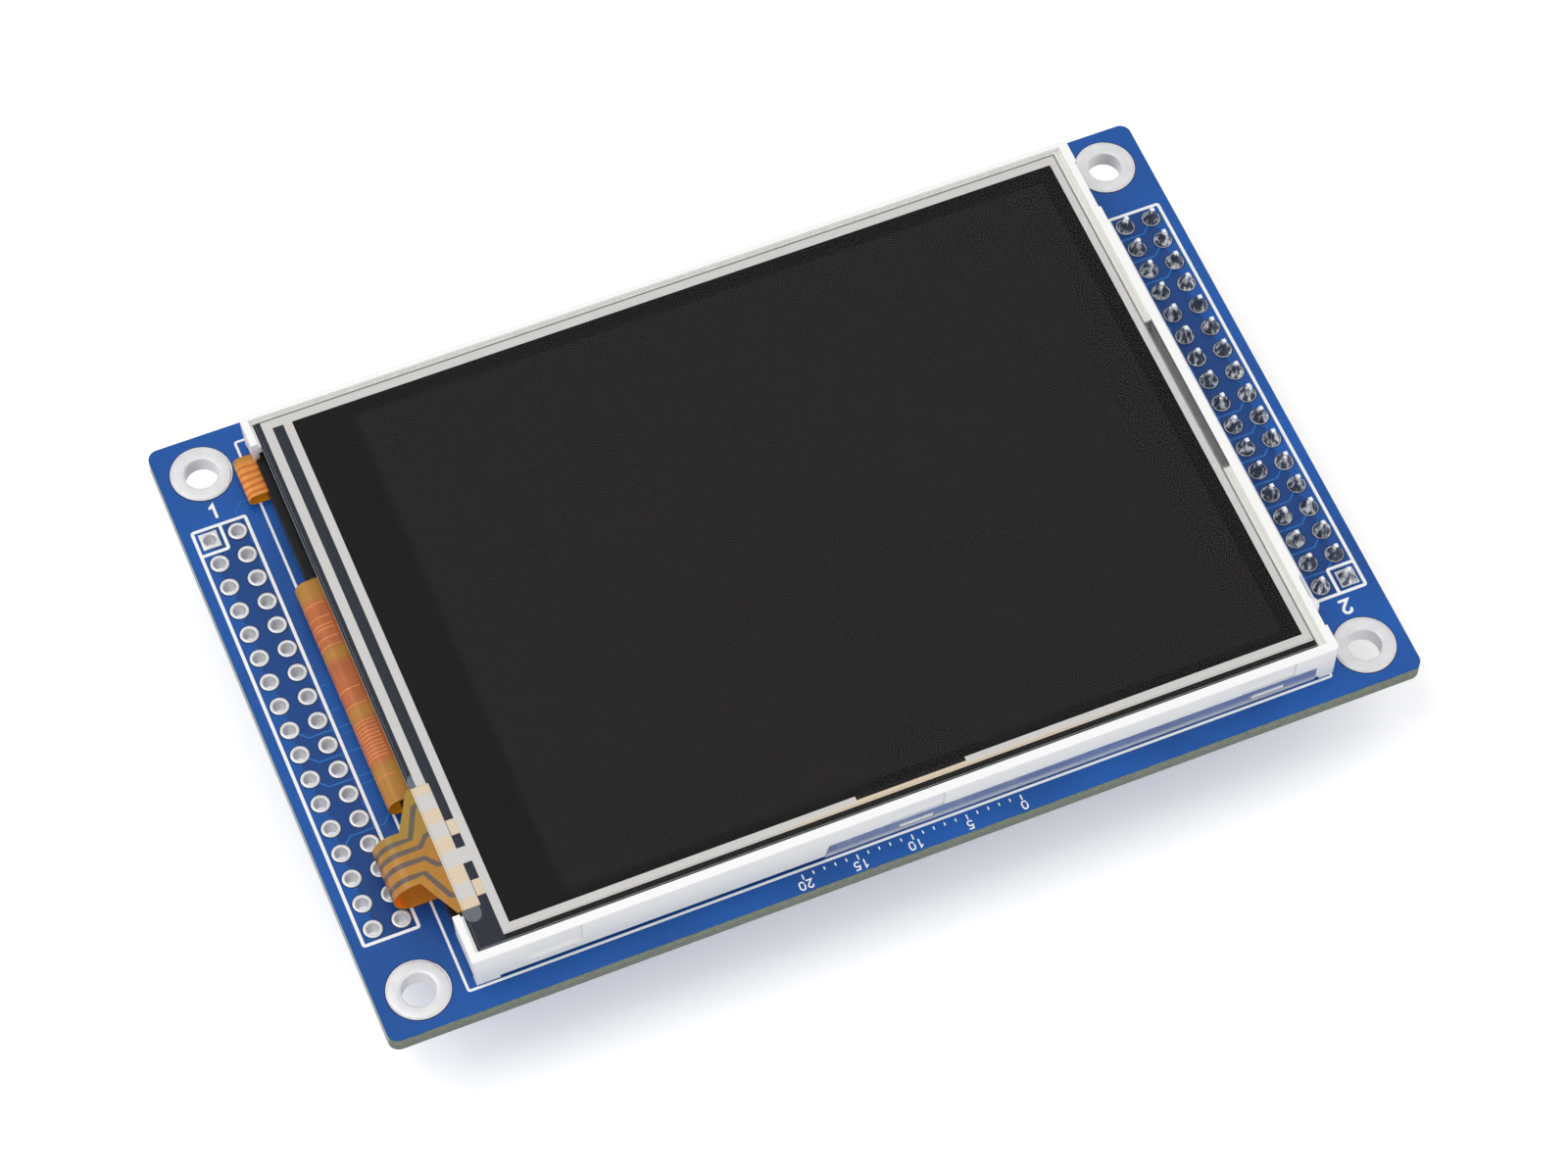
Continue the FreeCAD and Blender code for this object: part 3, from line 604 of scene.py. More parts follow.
def tail_finish(look):
    """Amber tail, olive at its root's back half, with painted light inside its loop: a bright deep orange and
    a faint glow, for light that comes through the film.
    """
    finish = Finish("tail_film", look.tail_colour, 0.25, gloss=0.35)
    shade = finish.drift(finish.noise(0.5, 2.0).eased(0.3, 0.7), look.tail_colour, 0.92, 1.08)
    olive = finish.y.eased(-17.0, -14.5) * finish.z.eased(4.0, 5.0)
    shade = finish.mix(olive, shade, look.tail_olive_colour)
    lit_inside_tone = finish.mix(finish.z.eased(1.8, 2.3), look.main_gold_colour, look.tail_lit_inside_colour)
    inside = finish.inside_bend(*TAIL_BEND)
    shade = finish.mix(inside, shade, lit_inside_tone)
    finish.glow_through(shade, inside)
    finish.paint(shade)
    finish.relief(finish.noise(1.4, 2.0), 0.015)
    return finish.material


def frame_finish(look):
    """White moulding, creamier on its ledges, with painted shade in the gap between them."""
    finish = Finish("white_moulding", look.frame_colour, 0.4)
    white = finish.drift(finish.noise(0.35, 2.0), look.frame_colour, 0.985)
    ledges = (finish.area(*RIGHT_LEDGE) | finish.area(*BACK_LEDGE)) * finish.z.within(4.3, 5.42)
    streaks = finish.noise(1.0, 1.0, stretch=(9.0, 0.08, 1.0))
    band = finish.drift(streaks.eased(0.4, 0.6), look.ledge_colour, 0.86)
    face = finish.mix(ledges, white, band)
    # Painted shade and light: the gap is painted grey near the rim and white further down, so that under the
    # narrow gap's real shade it looks evenly grey
    gap = finish.area(*LEDGE_GAP) * finish.z.within(1.0, 5.75)
    shaded = finish.mix(finish.z.eased(3.8, 5.4), WHITE, look.gap_shade_colour)
    finish.paint(finish.mix(gap, face, shaded))
    fine = finish.noise(3.0, 3.0, 0.6)
    finish.roughen(fine, 0.34, 0.46)
    finish.relief(fine, 0.008)
    return finish.material


def sheet_finish(look):
    """Rolled sheet, softly bright, with faint rolling lines."""
    finish = Finish("bright_sheet", look.sheet_colour, 0.35, 1.0)
    lines = finish.noise(1.2, stretch=(0.15, 6.0, 6.0))
    finish.paint(finish.drift(lines, look.sheet_colour, 0.94))
    finish.roughen(lines, 0.3, 0.42)
    finish.relief(finish.noise(0.45, 2.0), 0.01)
    return finish.material


def pane_finish(look):
    """Dark display seen through the touch pane, and the pane's pale ground edges."""
    finish = Finish("dark_pane", look.view_colour, 0.3, gloss=0.06)
    face = finish.mix(finish.area(*ACTIVE_AREA), look.view_colour, look.active_colour)
    edge = finish.on_edges()
    ground = finish.noise(5.0)
    side = finish.drift(ground, look.glass_edge_colour, 0.75)
    finish.paint(finish.mix(edge, face, side))
    finish.relief(ground * edge, 0.01)
    return finish.material


def film_finish(look):
    """Clear polyester film: the ink below shows, and only its gloss and cut edges are seen."""
    finish = Finish("clear_film", look.film_edge_colour, 0.25)
    finish.set("Alpha", 0.75)
    ripple = finish.bump(finish.noise(0.5, 2.0), 0.004)
    gloss = finish.node("ShaderNodeBsdfGlossy", {"Roughness": 0.12, "Normal": ripple})
    clear = finish.node("ShaderNodeBsdfTransparent")
    face = finish.blend(finish.node("ShaderNodeFresnel", {"IOR": 1.12}), clear, gloss)
    finish.show(finish.blend(finish.on_edges(), face, finish.own_shader()))
    return finish.material


def ink_finish(look):
    """Dark adhesive under the film's border, blacker along the front."""
    finish = Finish("adhesive_ring", look.ink_colour, 0.4, gloss=0.12)
    grain = finish.noise(3.0, 3.0, 0.6)
    shade = finish.drift(grain, look.ink_colour, 0.9)
    front = (finish.y < -24.9) * (finish.x > -35.6)
    finish.paint(finish.mix(front, shade, look.ink_front_colour))
    finish.relief(grain, 0.006)
    return finish.material


def silver_finish(look):
    """Matt silver ink, with the thin seam of the adhesive under its outer edge."""
    finish = Finish("silver_ink", look.silver_colour, 0.55)
    x, y = finish.x, finish.y
    shade = finish.drift(finish.noise(0.35, 2.0), look.silver_colour, 0.97, 1.03)
    # Bare film fills the narrowed stretch, and shows along the outer half beside it
    in_front = y.within(-26.7, -25.7)
    narrowed = x.within(-3.9, 6.2) * in_front
    beside = x.eased(-12.0, -8.0) * x.eased(14.0, 22.0, 1.0, 0.0)
    outer = y.eased(-26.4, -26.25, 1.0, 0.0) * in_front * beside * 0.8
    corner = finish.area(-35.52, -34.7, 26.0, 26.7) * 0.5
    shade = finish.mix(narrowed | outer | corner, shade, look.beige_colour)
    front_seam = y.near(-26.53, 0.018) * (x > -35.3)
    seam = (front_seam | x.near(38.24, 0.02)) * 0.5
    finish.paint(finish.mix(seam, shade, seen(84, 80, 76)))
    finish.relief(finish.noise(9.0, 3.0, 0.6), 0.01)
    return finish.material


def glass_finish():
    """Dark display glass, with painted light at its right margin beside the wall: near white, against the
    shade of the narrow gap there.
    """
    finish = Finish("display_glass", seen(40, 46, 50), 0.1)
    tone = finish.mix(finish.noise(0.35, 2.0), seen(36, 42, 46), seen(42, 48, 52))
    # Painted light: the margin beside the wall is painted near white to lighten the gap's shade
    finish.paint(finish.mix(finish.x > 38.28, tone, seen(240, 242, 242)))
    finish.relief(finish.noise(2.0), 0.002)
    return finish.material


def floor_finish(look):
    """Pale floor that looks white to the camera and in reflections, and keeps its shadow."""
    finish = Finish("pale_floor", look.floor_colour, 0.9, gloss=0.0)
    direct = seen_directly(finish.tree)
    drift = finish.noise(0.01, 2.0).eased(0.3, 0.7, 0.97, 1.0)
    shade = finish.drift(drift, look.floor_colour, 0.96)
    finish.paint(finish.mix(direct, shade, WHITE))
    finish.set("Emission Color", WHITE)
    finish.set("Emission Strength", direct * look.floor_glow)
    # From below the camera looks through the floor
    below = finish.node("ShaderNodeNewGeometry", output="Backfacing")
    camera = finish.node("ShaderNodeLightPath", output="Is Camera Ray")
    clear = finish.node("ShaderNodeBsdfTransparent")
    finish.show(finish.blend(below * camera, finish.own_shader(), clear))
    return finish.material


# Settings

class BoardLook(bpy.types.PropertyGroup):
    mask_colour: colour_prop("Solder mask", "Colour of the board's coating", (14, 79, 156))
    bare_colour: colour_prop("Bare laminate", "Coating where no copper lies below", (7, 57, 120))
    track_colour: colour_prop("Tracks", "Coating over the copper tracks", (34, 104, 178))
    edge_colour: colour_prop("Raw edge", "Colour of the board's cut edges", (113, 120, 111))
    # Painted light: the left edge's paler tone stands for light falling on it from the left
    edge_left_lit_colour: colour_prop("Raw edge, left", "Paler glass of the left edge", (206, 214, 208))
    resin_colour: colour_prop("Edge resin", "Resin near the top of the raw edge", (134, 137, 92))
    rim_colour: colour_prop("Edge rim", "Thin line of coating over the raw edge", (56, 99, 104))
    print_colour: colour_prop("Printing", "Colour of the printed lines", (246, 247, 248))
    tin_colour: colour_prop("Tinning", "Colour of tinned copper", (222, 222, 224))
    # Painted reflection: the solder's dark and bright runs are painted reflection; the bright colour is also
    # the tin on the pins
    solder_colour: colour_prop("Solder", "Bright runs of the solder joints", (236, 237, 239))
    solder_reflection_dark_colour: colour_prop("Solder shade", "Dark runs of the solder joints", (58, 65, 82))
    pin_colour: colour_prop("Pins", "Colour of the plated pins", (233, 214, 160))
    line_width: length_prop("Line width", "Width of the printed lines", 0.3)
    track_width: length_prop("Track width", "Width of the copper tracks", 0.17)
    numeral_height: length_prop("Numeral height", "Height of the printed header numbers", 1.3)
    scale_height: length_prop("Scale height", "Height of the numbers along the front", 0.75)


class ScreenLook(bpy.types.PropertyGroup):
    frame_colour: colour_prop("Frame", "Colour of the moulded frame", (243, 243, 242))
    ledge_colour: colour_prop("Ledge", "Pale band on the ledges inside the frame", (232, 230, 222))
    # Painted shade: the grey of the right wall's inside between its ledges
    gap_shade_colour: colour_prop("Ledge gap", "Right wall's inside between its ledges", (122, 122, 121))
    sheet_colour: colour_prop("Shell", "Colour of the folded sheet", (222, 226, 231))
    tape_colour: colour_prop("Tape", "Colour of the light-shield tape", (20, 20, 21))
    view_colour: colour_prop("Screen border", "Dark border round the picture area", (21, 21, 21))
    active_colour: colour_prop("Picture area", "Screen when it is off", (34, 31, 32))
    glass_edge_colour: colour_prop("Glass edge", "Ground edges of the touch pane", (158, 166, 166))
    film_edge_colour: colour_prop("Film edge", "Cut edges of the touch film", (214, 218, 218))
    ink_colour: colour_prop("Adhesive ring", "Dark ring under the film's border", (46, 50, 60))
    ink_front_colour: colour_prop("Adhesive at the front", "The same ring along the front", (25, 24, 23))
    silver_colour: colour_prop("Silver ink", "Conductors round the touch panel", (212, 210, 208))
    beige_colour: colour_prop("Bare film", "Film between the contacts", (224, 206, 180))
    glue_colour: colour_prop("Clear glue", "Ends of the glue beside the tail", (98, 104, 114))


class FlexLook(bpy.types.PropertyGroup):
    tail_colour: colour_prop("Touch tail", "Film of the touch panel's tail", (173, 119, 43))
    tail_olive_colour: colour_prop("Tail, clear part", "Where the tail's film has no copper", (156, 124, 46))
    # Painted light: the bright orange inside the tail's loop stands for light coming through the film
    tail_lit_inside_colour: colour_prop("Tail, inside", "Inner face of the tail's loop", (250, 118, 24))
    tail_track_colour: colour_prop("Tail tracks", "Tracks that show through the tail", (92, 78, 68))
    main_colour: colour_prop("Display film", "Film that drives the display", (180, 98, 52))
    main_gold_colour: colour_prop("Display film, clear part", "Where that film has no copper", (176, 122, 46))
    raised_colour: colour_prop("Raised tracks", "Tracks that stand up under the film", (222, 136, 78))
    loop_colour: colour_prop("Lamp film", "Film that feeds the lamps", (236, 150, 66))
    stripe_colour: colour_prop("Lamp tracks", "Tracks of the lamp film", (206, 112, 40))
    track_lift: length_prop("Track lift", "How far the tracks stand up under the film", 0.012)


class StageLook(bpy.types.PropertyGroup):
    floor_colour: colour_prop("Floor", "Colour of the floor", (236, 236, 236))
    floor_glow: share_prop("Floor glow", "Part of the floor's whiteness that shadows leave", 0.25)
    floor_size: length_prop("Floor size", "Side of the square floor", 6000.0)
    sky_level: share_prop("Room light", "Level of the light from all round", 0.76)
    lamp_power: power_prop("Lamp power", "Power of the large soft lamp", 2.2)
    fill_power: power_prop("Fill power", "Power of the soft lamp in front", 0.7)
    lamp_size: length_prop("Lamp size", "Side of both soft lamps", 500.0)
    lens: FloatProperty(name="Lens", description="Focal length of the camera", unit="CAMERA",
                        min=1.0, default=117.353)


# Strokes of the printed numbers, in a box 0.6 wide and 1 high

STROKES = {
    "0": [(0.0, 0.3), (0.0, 0.7), (0.1, 0.93), (0.3, 1.0), (0.5, 0.93), (0.6, 0.7), (0.6, 0.3),
          (0.5, 0.07), (0.3, 0.0), (0.1, 0.07), (0.0, 0.3)],
    "1": [(0.08, 0.8), (0.32, 1.0), (0.32, 0.0)],
    "2": [(0.02, 0.74), (0.08, 0.92), (0.28, 1.0), (0.5, 0.93), (0.58, 0.74), (0.5, 0.54), (0.02, 0.0),
          (0.6, 0.0)],
    "5": [(0.56, 1.0), (0.1, 1.0), (0.04, 0.56), (0.28, 0.63), (0.5, 0.55), (0.6, 0.32), (0.5, 0.08),
          (0.26, 0.0), (0.02, 0.09)],
}


def add_number(bm, text, x, y, height, turn, width, lift):
    """A printed number in strokes with round ends, its middle at a place on the board."""
    advance = 0.95 * height
    start = -(len(text) - 1) * advance / 2 - 0.3 * height
    cos = math.cos(turn)
    sin = math.sin(turn)
    for i, figure in enumerate(text):
        line = []
        for u, v in STROKES[figure]:
            px = start + i * advance + u * height
            py = (v - 0.5) * height
            line.append((x + px * cos - py * sin, y + px * sin + py * cos))
        add_strip(bm, line, width, BOARD_TOP, lift, round_ends=True)


class DISPLAY_OT_board(bpy.types.Operator):
    """Coat the board and lay its tracks and printing"""
    bl_idname = "display_module.board"
    bl_label = "Board"

    def execute(self, context):
        look = context.scene.board_look
        dress(board_finish(look), "circuit_board")
        self.tracks(look)
        self.printing(look)
        return {"FINISHED"}

    def tracks(self, look):
        """Copper tracks under the mask, between the pads and towards the display."""
        bm = bmesh.new()
        width = look.track_width / MM
        narrow = width * 0.7
        half_pitch = PIN_PITCH / 2
        leave = 0.6
        base = BOARD_TOP - 0.01
        height = 0.022
        for side, rows in ((1, (0, 1, 2, 8, 9, 10, 11, 12, 13, 14, 15)), (-1, (8, 9, 10))):
            for i in rows:
                y = ROWS[i]
                points = [(side * (OUTER_COLUMN - leave), y - leave),
                          (side * (OUTER_COLUMN - half_pitch), y - half_pitch),
                          (side * UNDER_DISPLAY, y - half_pitch)]
                add_strip(bm, points, width, base, height)
        for i in (7, 8, 9, 11):
            y = ROWS[i]
            points = [(-INNER_COLUMN + 0.75, y + 0.3), (-41.2, y + 0.5), (-UNDER_DISPLAY, y + 0.5)]
            add_strip(bm, points, narrow, base, height)
        y = ROWS[13]
        points = [(-OUTER_COLUMN + leave, y + leave), (-43.68, y + half_pitch), (-40.6, y + half_pitch),
                  (-39.4, y + 2.6), (-UNDER_DISPLAY, y + 2.6)]
        add_strip(bm, points, width, base, height)
        points = [(-UNDER_DISPLAY, 23.0), (-41.2, 23.0), (-41.9, 22.3), (-41.9, 20.9)]
        add_strip(bm, points, narrow, base, height)
        add_piece("board_tracks", bm, copper_under_mask(look))

    def printing(self, look):
        """White lines round the headers and the display, numbers and a plain scale."""
        ink = print_finish(look)
        width = look.line_width / MM
        lift = 0.03
        bm = bmesh.new()
        for side in (-1, 1):
            outer = side * HEADER_OUTSIDE
            inner = side * HEADER_INSIDE
            beside = side * FIRST_PAD_INSIDE
            outline = rounded_corner([(outer, HEADER_END), (outer, -HEADER_END), (inner, -HEADER_END),
                                      (inner, HEADER_END)], closed=True)
            add_strip(bm, outline, width, BOARD_TOP, lift, closed=True)
            box = rounded_corner([(outer, -side * FIRST_PAD_END), (beside, -side * FIRST_PAD_END),
                                  (beside, -side * HEADER_END)])
            add_strip(bm, box, width, BOARD_TOP, lift * 0.85)
        left, right, front, back = DISPLAY_LINE
        outline = rounded_corner([(left, back), (left, front), (right, front), (right, back)], closed=True)
        add_strip(bm, outline, width * 0.8, BOARD_TOP, lift, closed=True)
        add_piece("printed_lines", bm, ink)
        bm = bmesh.new()
        thin = 0.13
        for i in range(21):
            x = SCALE_START - i
            long = 0.5 if i % 5 == 0 else 0.3
            add_strip(bm, [(x, SCALE_FRONT), (x, SCALE_FRONT - long)], thin, BOARD_TOP, lift)
        add_piece("printed_scale_marks", bm, ink)
        bm = bmesh.new()
        tall = look.numeral_height / MM
        small = look.scale_height / MM
        bold = 0.27
        add_number(bm, "2", 43.6, -22.95, tall, math.pi, bold, lift)
        add_number(bm, "1", -43.6, 23.0, tall, 0.0, bold, lift)
        for i in range(5):
            add_number(bm, str(i * 5), SCALE_START - i * 5, SCALE_FIGURES, small, math.pi, thin, lift)
        add_piece("printed_numbers", bm, ink)


class DISPLAY_OT_rings(bpy.types.Operator):
    """Tin the rings of the mounting holes and the pads of both headers"""
    bl_idname = "display_module.rings"
    bl_label = "Rings and pads"

    def execute(self, context):
        look = context.scene.board_look
        tin = tin_finish("tinned_copper", look.tin_colour, 0.42, 0.012, 0.45)
        dress(tin, "mount_hole_rings", "left_header_pads", "right_header_pads")
        rng = random.Random(5)
        bm = bmesh.new()
        for sx in (-1, 1):
            for sy in (-1, 1):
                self.band(bm, sx * HOLE_X, sy * HOLE_Y, 1.52, 2.68, 0.035, rng, 0.03, 144, points=0.09)
        add_piece("ring_tinning", bm, tin, smooth=True)
        bm = bmesh.new()
        for x, y in PINS:
            square = x == OUTER_COLUMN and y == ROWS[0]
            self.band(bm, -x, y, 0.585, 0.81, 0.03, rng, 0.012, 36, square)
        add_piece("left_pad_tinning", bm, tin, smooth=True)
        return {"FINISHED"}

    def band(self, bm, x, y, inner, outer, lift, rng, wobble, steps, square=False, points=0.0):
        """A domed band of tin round a hole, uneven at its outer edge and pointed at the diagonals."""
        base = PAD_TOP - 0.01
        phases = [rng.uniform(0, 2 * math.pi) for _ in range(4)]
        levels = ((0.0, 0.0), (0.08, 0.8), (0.3, 1.0), (0.88, 0.9), (1.0, 0.0))
        rings = []
        for k in range(steps):
            angle = 2 * math.pi * k / steps
            uneven = (math.sin(3 * angle + phases[0]) * 0.5 + math.sin(5 * angle + phases[1]) * 0.35
                      + math.sin(11 * angle + phases[2]) * 0.3)
            diagonal = abs(math.sin(2 * angle))
            reach = outer + wobble * uneven + points * max(0.0, diagonal - 0.965) / 0.035
            if square:
                reach = min(1.32 * outer, outer / max(abs(math.cos(angle)), abs(math.sin(angle))))
            swell = 1.0 + 0.2 * math.sin(2 * angle + phases[3])
            ring = []
            for share, height in levels:
                r = inner + share * (reach - inner)
                ring.append(bm.verts.new((x + r * math.cos(angle), y + r * math.sin(angle),
                                          base + lift * height * swell)))
            rings.append(ring)
        join_rings(bm, rings, closed=True)


class DISPLAY_OT_header(bpy.types.Operator):
    """Finish the pins and their moulded body, and form the solder joints"""
    bl_idname = "display_module.header"
    bl_label = "Header"

    def execute(self, context):
        look = context.scene.board_look
        dress(plain_finish("black_nylon", seen(34, 34, 36), 0.5, 5.0, depth=0.01), "right_header_body")
        self.pins(pin_finish(look))
        rng = random.Random(11)
        bm = bmesh.new()
        for x, y in PINS:
            full = x == INNER_COLUMN and abs(y - 8.9) < 1.5
            starred = x == OUTER_COLUMN and y == ROWS[-1]
            self.joint(bm, x, y, rng, full, starred)
        joints = add_piece("solder_cones", bm, solder_finish(look), smooth=True)
        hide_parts("right_header_solder")
        return {"FINISHED"}

    def pins(self, finish):
        """Square pins that narrow inside their solder to a small tip."""
        bm = bmesh.new()
        levels = ((PIN_BOTTOM, 0.2), (PIN_BOTTOM + 0.3, 0.32), (2.0, 0.32), (2.4, 0.19),
                  (PIN_TOP - 0.05, 0.18), (PIN_TOP, 0.13))
        for x, y in PINS:
            join_rings(bm, [box_ring(bm, x - half, x + half, y - half, y + half, z)
                            for z, half in levels])
        pins = add_piece("header_pins", bm, finish)
        dress(finish, "right_header_pins")
        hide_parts("right_header_pins")

    def joint(self, bm, x, y, rng, full, starred):
        """One solder joint, hollow-flanked and uneven, from the board's underside up to the pin's tip."""
        steps = 32
        bore = 0.57
        foot = 0.79
        crown = rng.uniform(0.3, 0.34)
        hollow = 1.0 if full else rng.uniform(1.4, 1.9)
        phases = [rng.uniform(0, 2 * math.pi) for _ in range(5)]
        lean = (rng.uniform(-0.02, 0.02), rng.uniform(-0.02, 0.02))
        rise = rng.uniform(1.05, 1.2)
        levels = [(bore, 0.0, 0.0, 0.0), (bore, PAD_TOP, 0.0, 0.0), (foot, PAD_TOP, 0.0, 1.0),
                  (foot - 0.01, PAD_TOP + 0.05, 0.1, 0.95)]
        for i in range(1, 10):
            share = i / 9
            radius = crown + (foot - crown) * (1 - share) ** hollow
            levels.append((radius, PAD_TOP + 0.03 + share * rise, math.sin(math.pi * min(share + 0.1, 0.9)),
                           (1 - share) ** 2))
        levels.append((0.24, PAD_TOP + rise + 0.09, 0.0, 0.0))
        rings = []
        for radius, z, unevenness, star in levels:
            ring = []
            for k in range(steps):
                angle = 2 * math.pi * k / steps
                ridge = (0.08 * math.sin(2 * angle + phases[0]) + 0.06 * math.sin(4 * angle + phases[1])
                         + 0.06 * math.sin(3 * angle + phases[2] + 2.0 * z)
                         + 0.05 * math.sin(7 * angle + phases[3]))
                r = radius * (1 + ridge * unevenness)
                if starred:
                    r *= 1 + star * (0.36 * abs(math.sin(2 * angle)) ** 6 - 0.08)
                share = max(0.0, (z - PAD_TOP) / 1.2)
                ring.append(bm.verts.new((x + lean[0] * share + r * math.cos(angle),
                                          y + lean[1] * share + r * math.sin(angle), z)))
            rings.append(ring)
        join_rings(bm, rings)


class DISPLAY_OT_frame(bpy.types.Operator):
    """Finish the moulded frame, the folded shell and the tapes"""
    bl_idname = "display_module.frame"
    bl_label = "Frame and shell"

    def execute(self, context):
        look = context.scene.screen_look
        dress(frame_finish(look), "moulded_frame")
        dress(sheet_finish(look), "metal_shell")
        dress(plain_finish("foam_tape", seen(206, 204, 196), 0.85, 5.0, depth=0.05), "mounting_tape")
        dress(plain_finish("black_tape", look.tape_colour, 0.42, 2.0, depth=0.02, gloss=0.2), "side_tape")
        dress(plain_finish("rim_tape", look.tape_colour, 0.5, 4.0, depth=0.01, gloss=0.2), "rim_tape",
              "touch_gasket")
        return {"FINISHED"}


class DISPLAY_OT_backlight(bpy.types.Operator):
    """Finish the backlight's sheets and lamps"""
    bl_idname = "display_module.backlight"
    bl_label = "Backlight"

    def execute(self, context):
        tones = (("reflector_sheet", (238, 238, 240), 0.35), ("light_guide", (228, 234, 238), 0.08),
                 ("diffuser_sheet", (240, 240, 240), 0.6), ("lower_prism_sheet", (216, 220, 226), 0.25),
                 ("upper_prism_sheet", (222, 226, 230), 0.25), ("backlight_leds", (240, 224, 120), 0.3))
        for name, tone, roughness in tones:
            dress(plain_finish("finish_" + name, seen(*tone), roughness, 8.0, vary=0.03), name)
        return {"FINISHED"}


class DISPLAY_OT_screen(bpy.types.Operator):
    """Finish the display glass and the touch panel with its conductors"""
    bl_idname = "display_module.screen"
    bl_label = "Screen and touch panel"

    def execute(self, context):
        look = context.scene.screen_look
        dress(glass_finish(), "tft_glass", "filter_glass")
        dress(plain_finish("polariser", seen(26, 26, 28), 0.3, 4.0), "rear_polariser", "front_polariser")
        dress(plain_finish("bare_chip", seen(88, 88, 98), 0.15, 3.0), "driver_chip")
        pane = pane_finish(look)
        dress(pane, "touch_glass")
        self.seamed_pane(pane)
        dress(ink_finish(look), "touch_spacer")
        dress(silver_finish(look), "silver_tracks")
        dress(film_finish(look), "touch_film")
        dress(plain_finish("clear_glue", look.glue_colour, 0.15, 1.5, depth=0.02), "tail_glue")
        return {"FINISHED"}

    def seamed_pane(self, finish):
        """The touch pane with its sharp edges ground off."""
        pane = NODES["touch_glass"]
        corners = [pane.matrix_world @ Vector(c) / MM for c in pane.bound_box]
        x0, y0, z0 = (min(c[i] for c in corners) for i in range(3))
        x1, y1, z1 = (max(c[i] for c in corners) for i in range(3))
        seam = 0.09
        bm = bmesh.new()
        join_rings(bm, [box_ring(bm, x0, x1, y0, y1, z, inset)
                        for z, inset in ((z0, seam), (z0 + seam, 0.0), (z1 - seam, 0.0), (z1, seam))])
        seamed = add_piece("seamed_pane", bm, finish)
        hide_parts("touch_glass")


class DISPLAY_OT_films(bpy.types.Operator):
    """Finish the three flex films and lay the tracks that show on them"""
    bl_idname = "display_module.films"
    bl_label = "Flex films"

    def execute(self, context):
        look = context.scene.flex_look
        lift = look.track_lift / MM
        gold = look.main_gold_colour
        clear_parts = ((9.9, 13.0), (3.8, 5.1), (-2.4, -1.0), (-12.0, -7.0))
        dress(tail_finish(look), "touch_flex")
        dress(amber_finish("display_film", look.main_colour, gold, clear_parts, DISPLAY_BEND), "main_flex")
        dress(amber_finish("lamp_film", look.loop_colour, gold, ((25.8, 27.5),), LAMP_BEND), "backlight_flex")
        self.tail(lift, plain_finish("tail_tracks", look.tail_track_colour, 0.3, 3.0, vary=0.08))
        self.contacts(context.scene.screen_look)
        self.display_film(lift, amber_finish("display_film_tracks", look.raised_colour, gold))
        self.lamp_film(lift, amber_finish("lamp_film_tracks", look.stripe_colour, gold))
        return {"FINISHED"}

    def tail(self, lift, finish):
        """Four tracks that leave the contacts, gather and run round the tail's loop."""
        bm = bmesh.new()
        routes = ((-12.75, -39.64, -15.5), (-15.65, -39.12, -16.5), (-18.6, -39.15, -17.6),
                  (-21.75, -39.64, -18.9))
        for root, corner, lane in routes:
            run, out = loop_run(corner, TAIL_BEND[0], TAIL_TOP, lane)
            points = [(-38.03, root, TAIL_TOP), (-38.33, root, TAIL_TOP)] + run
            add_wrap(bm, points, [(0, 0, 1), (0, 0, 1)] + out, 0.52, lift)
        add_piece("tail_tracks", bm, finish)

    def contacts(self, screen):
        """Silver contacts and bare film between them, at the tail's root."""
        silver = plain_finish("contact_silver", screen.silver_colour, 0.5, 9.0, vary=0.03)
        beige = plain_finish("bare_film", screen.beige_colour, 0.35, 2.0, vary=0.06)
        lands = ((-13.5, -12.0), (-16.3, -14.9), (-19.3, -17.8), (-22.4, -20.95))
        bm = bmesh.new()
        for low, high in lands:
            add_patch(bm, -38.0, -36.4, low, high, TAIL_TOP, 0.012)
        add_piece("tail_contacts", bm, silver)
        bm = bmesh.new()
        edges = [-11.12]
        for low, high in lands:
            edges += [high, low]
        edges.append(-23.38)
        for high, low in zip(edges[::2], edges[1::2]):
            add_patch(bm, -38.0, -36.4, low, high, TAIL_TOP, 0.008)
        for low, high in ((-16.5, -15.0), (-22.55, -21.0)):
            add_patch(bm, -36.35, -35.6, low, high, TAIL_TOP - 0.03, 0.035)
        add_piece("bare_film_patches", bm, beige)

    def display_film(self, lift, finish):
        """Fine raised tracks round the display's film, closer together towards its front."""
        bm = bmesh.new()
        rng = random.Random(3)
        lanes = [9.6, 8.2, 7.4, 7.0, 6.1, 5.3, 0.75, -0.95, -8.3]
        lanes += [-2.65 - 0.37 * i for i in range(11)]
        for lane in lanes:
            run, out = loop_run(-38.2, DISPLAY_BEND[0], DISPLAY_TOP, lane + rng.uniform(-0.03, 0.03))
            add_wrap(bm, run, out, 0.13, lift)
        add_piece("display_film_tracks", bm, finish)

    def lamp_film(self, lift, finish):
        """Broad wavering tracks on the lamp film's loop."""
        bm = bmesh.new()
        for i in range(5):
            run, out = loop_run(-38.6, LAMP_BEND[0], LAMP_TOP, 22.75 + 0.66 * i, steps=30)
            wavy = []
            gone = 0.0
            before = run[0]
            for spot in run:
                gone += math.dist(before, spot)
                before = spot
                wavy.append((spot[0], spot[1] + 0.07 * math.sin(2.4 * gone + i), spot[2]))
            add_wrap(bm, wavy, out, 0.3, lift)
        add_piece("lamp_film_tracks", bm, finish)


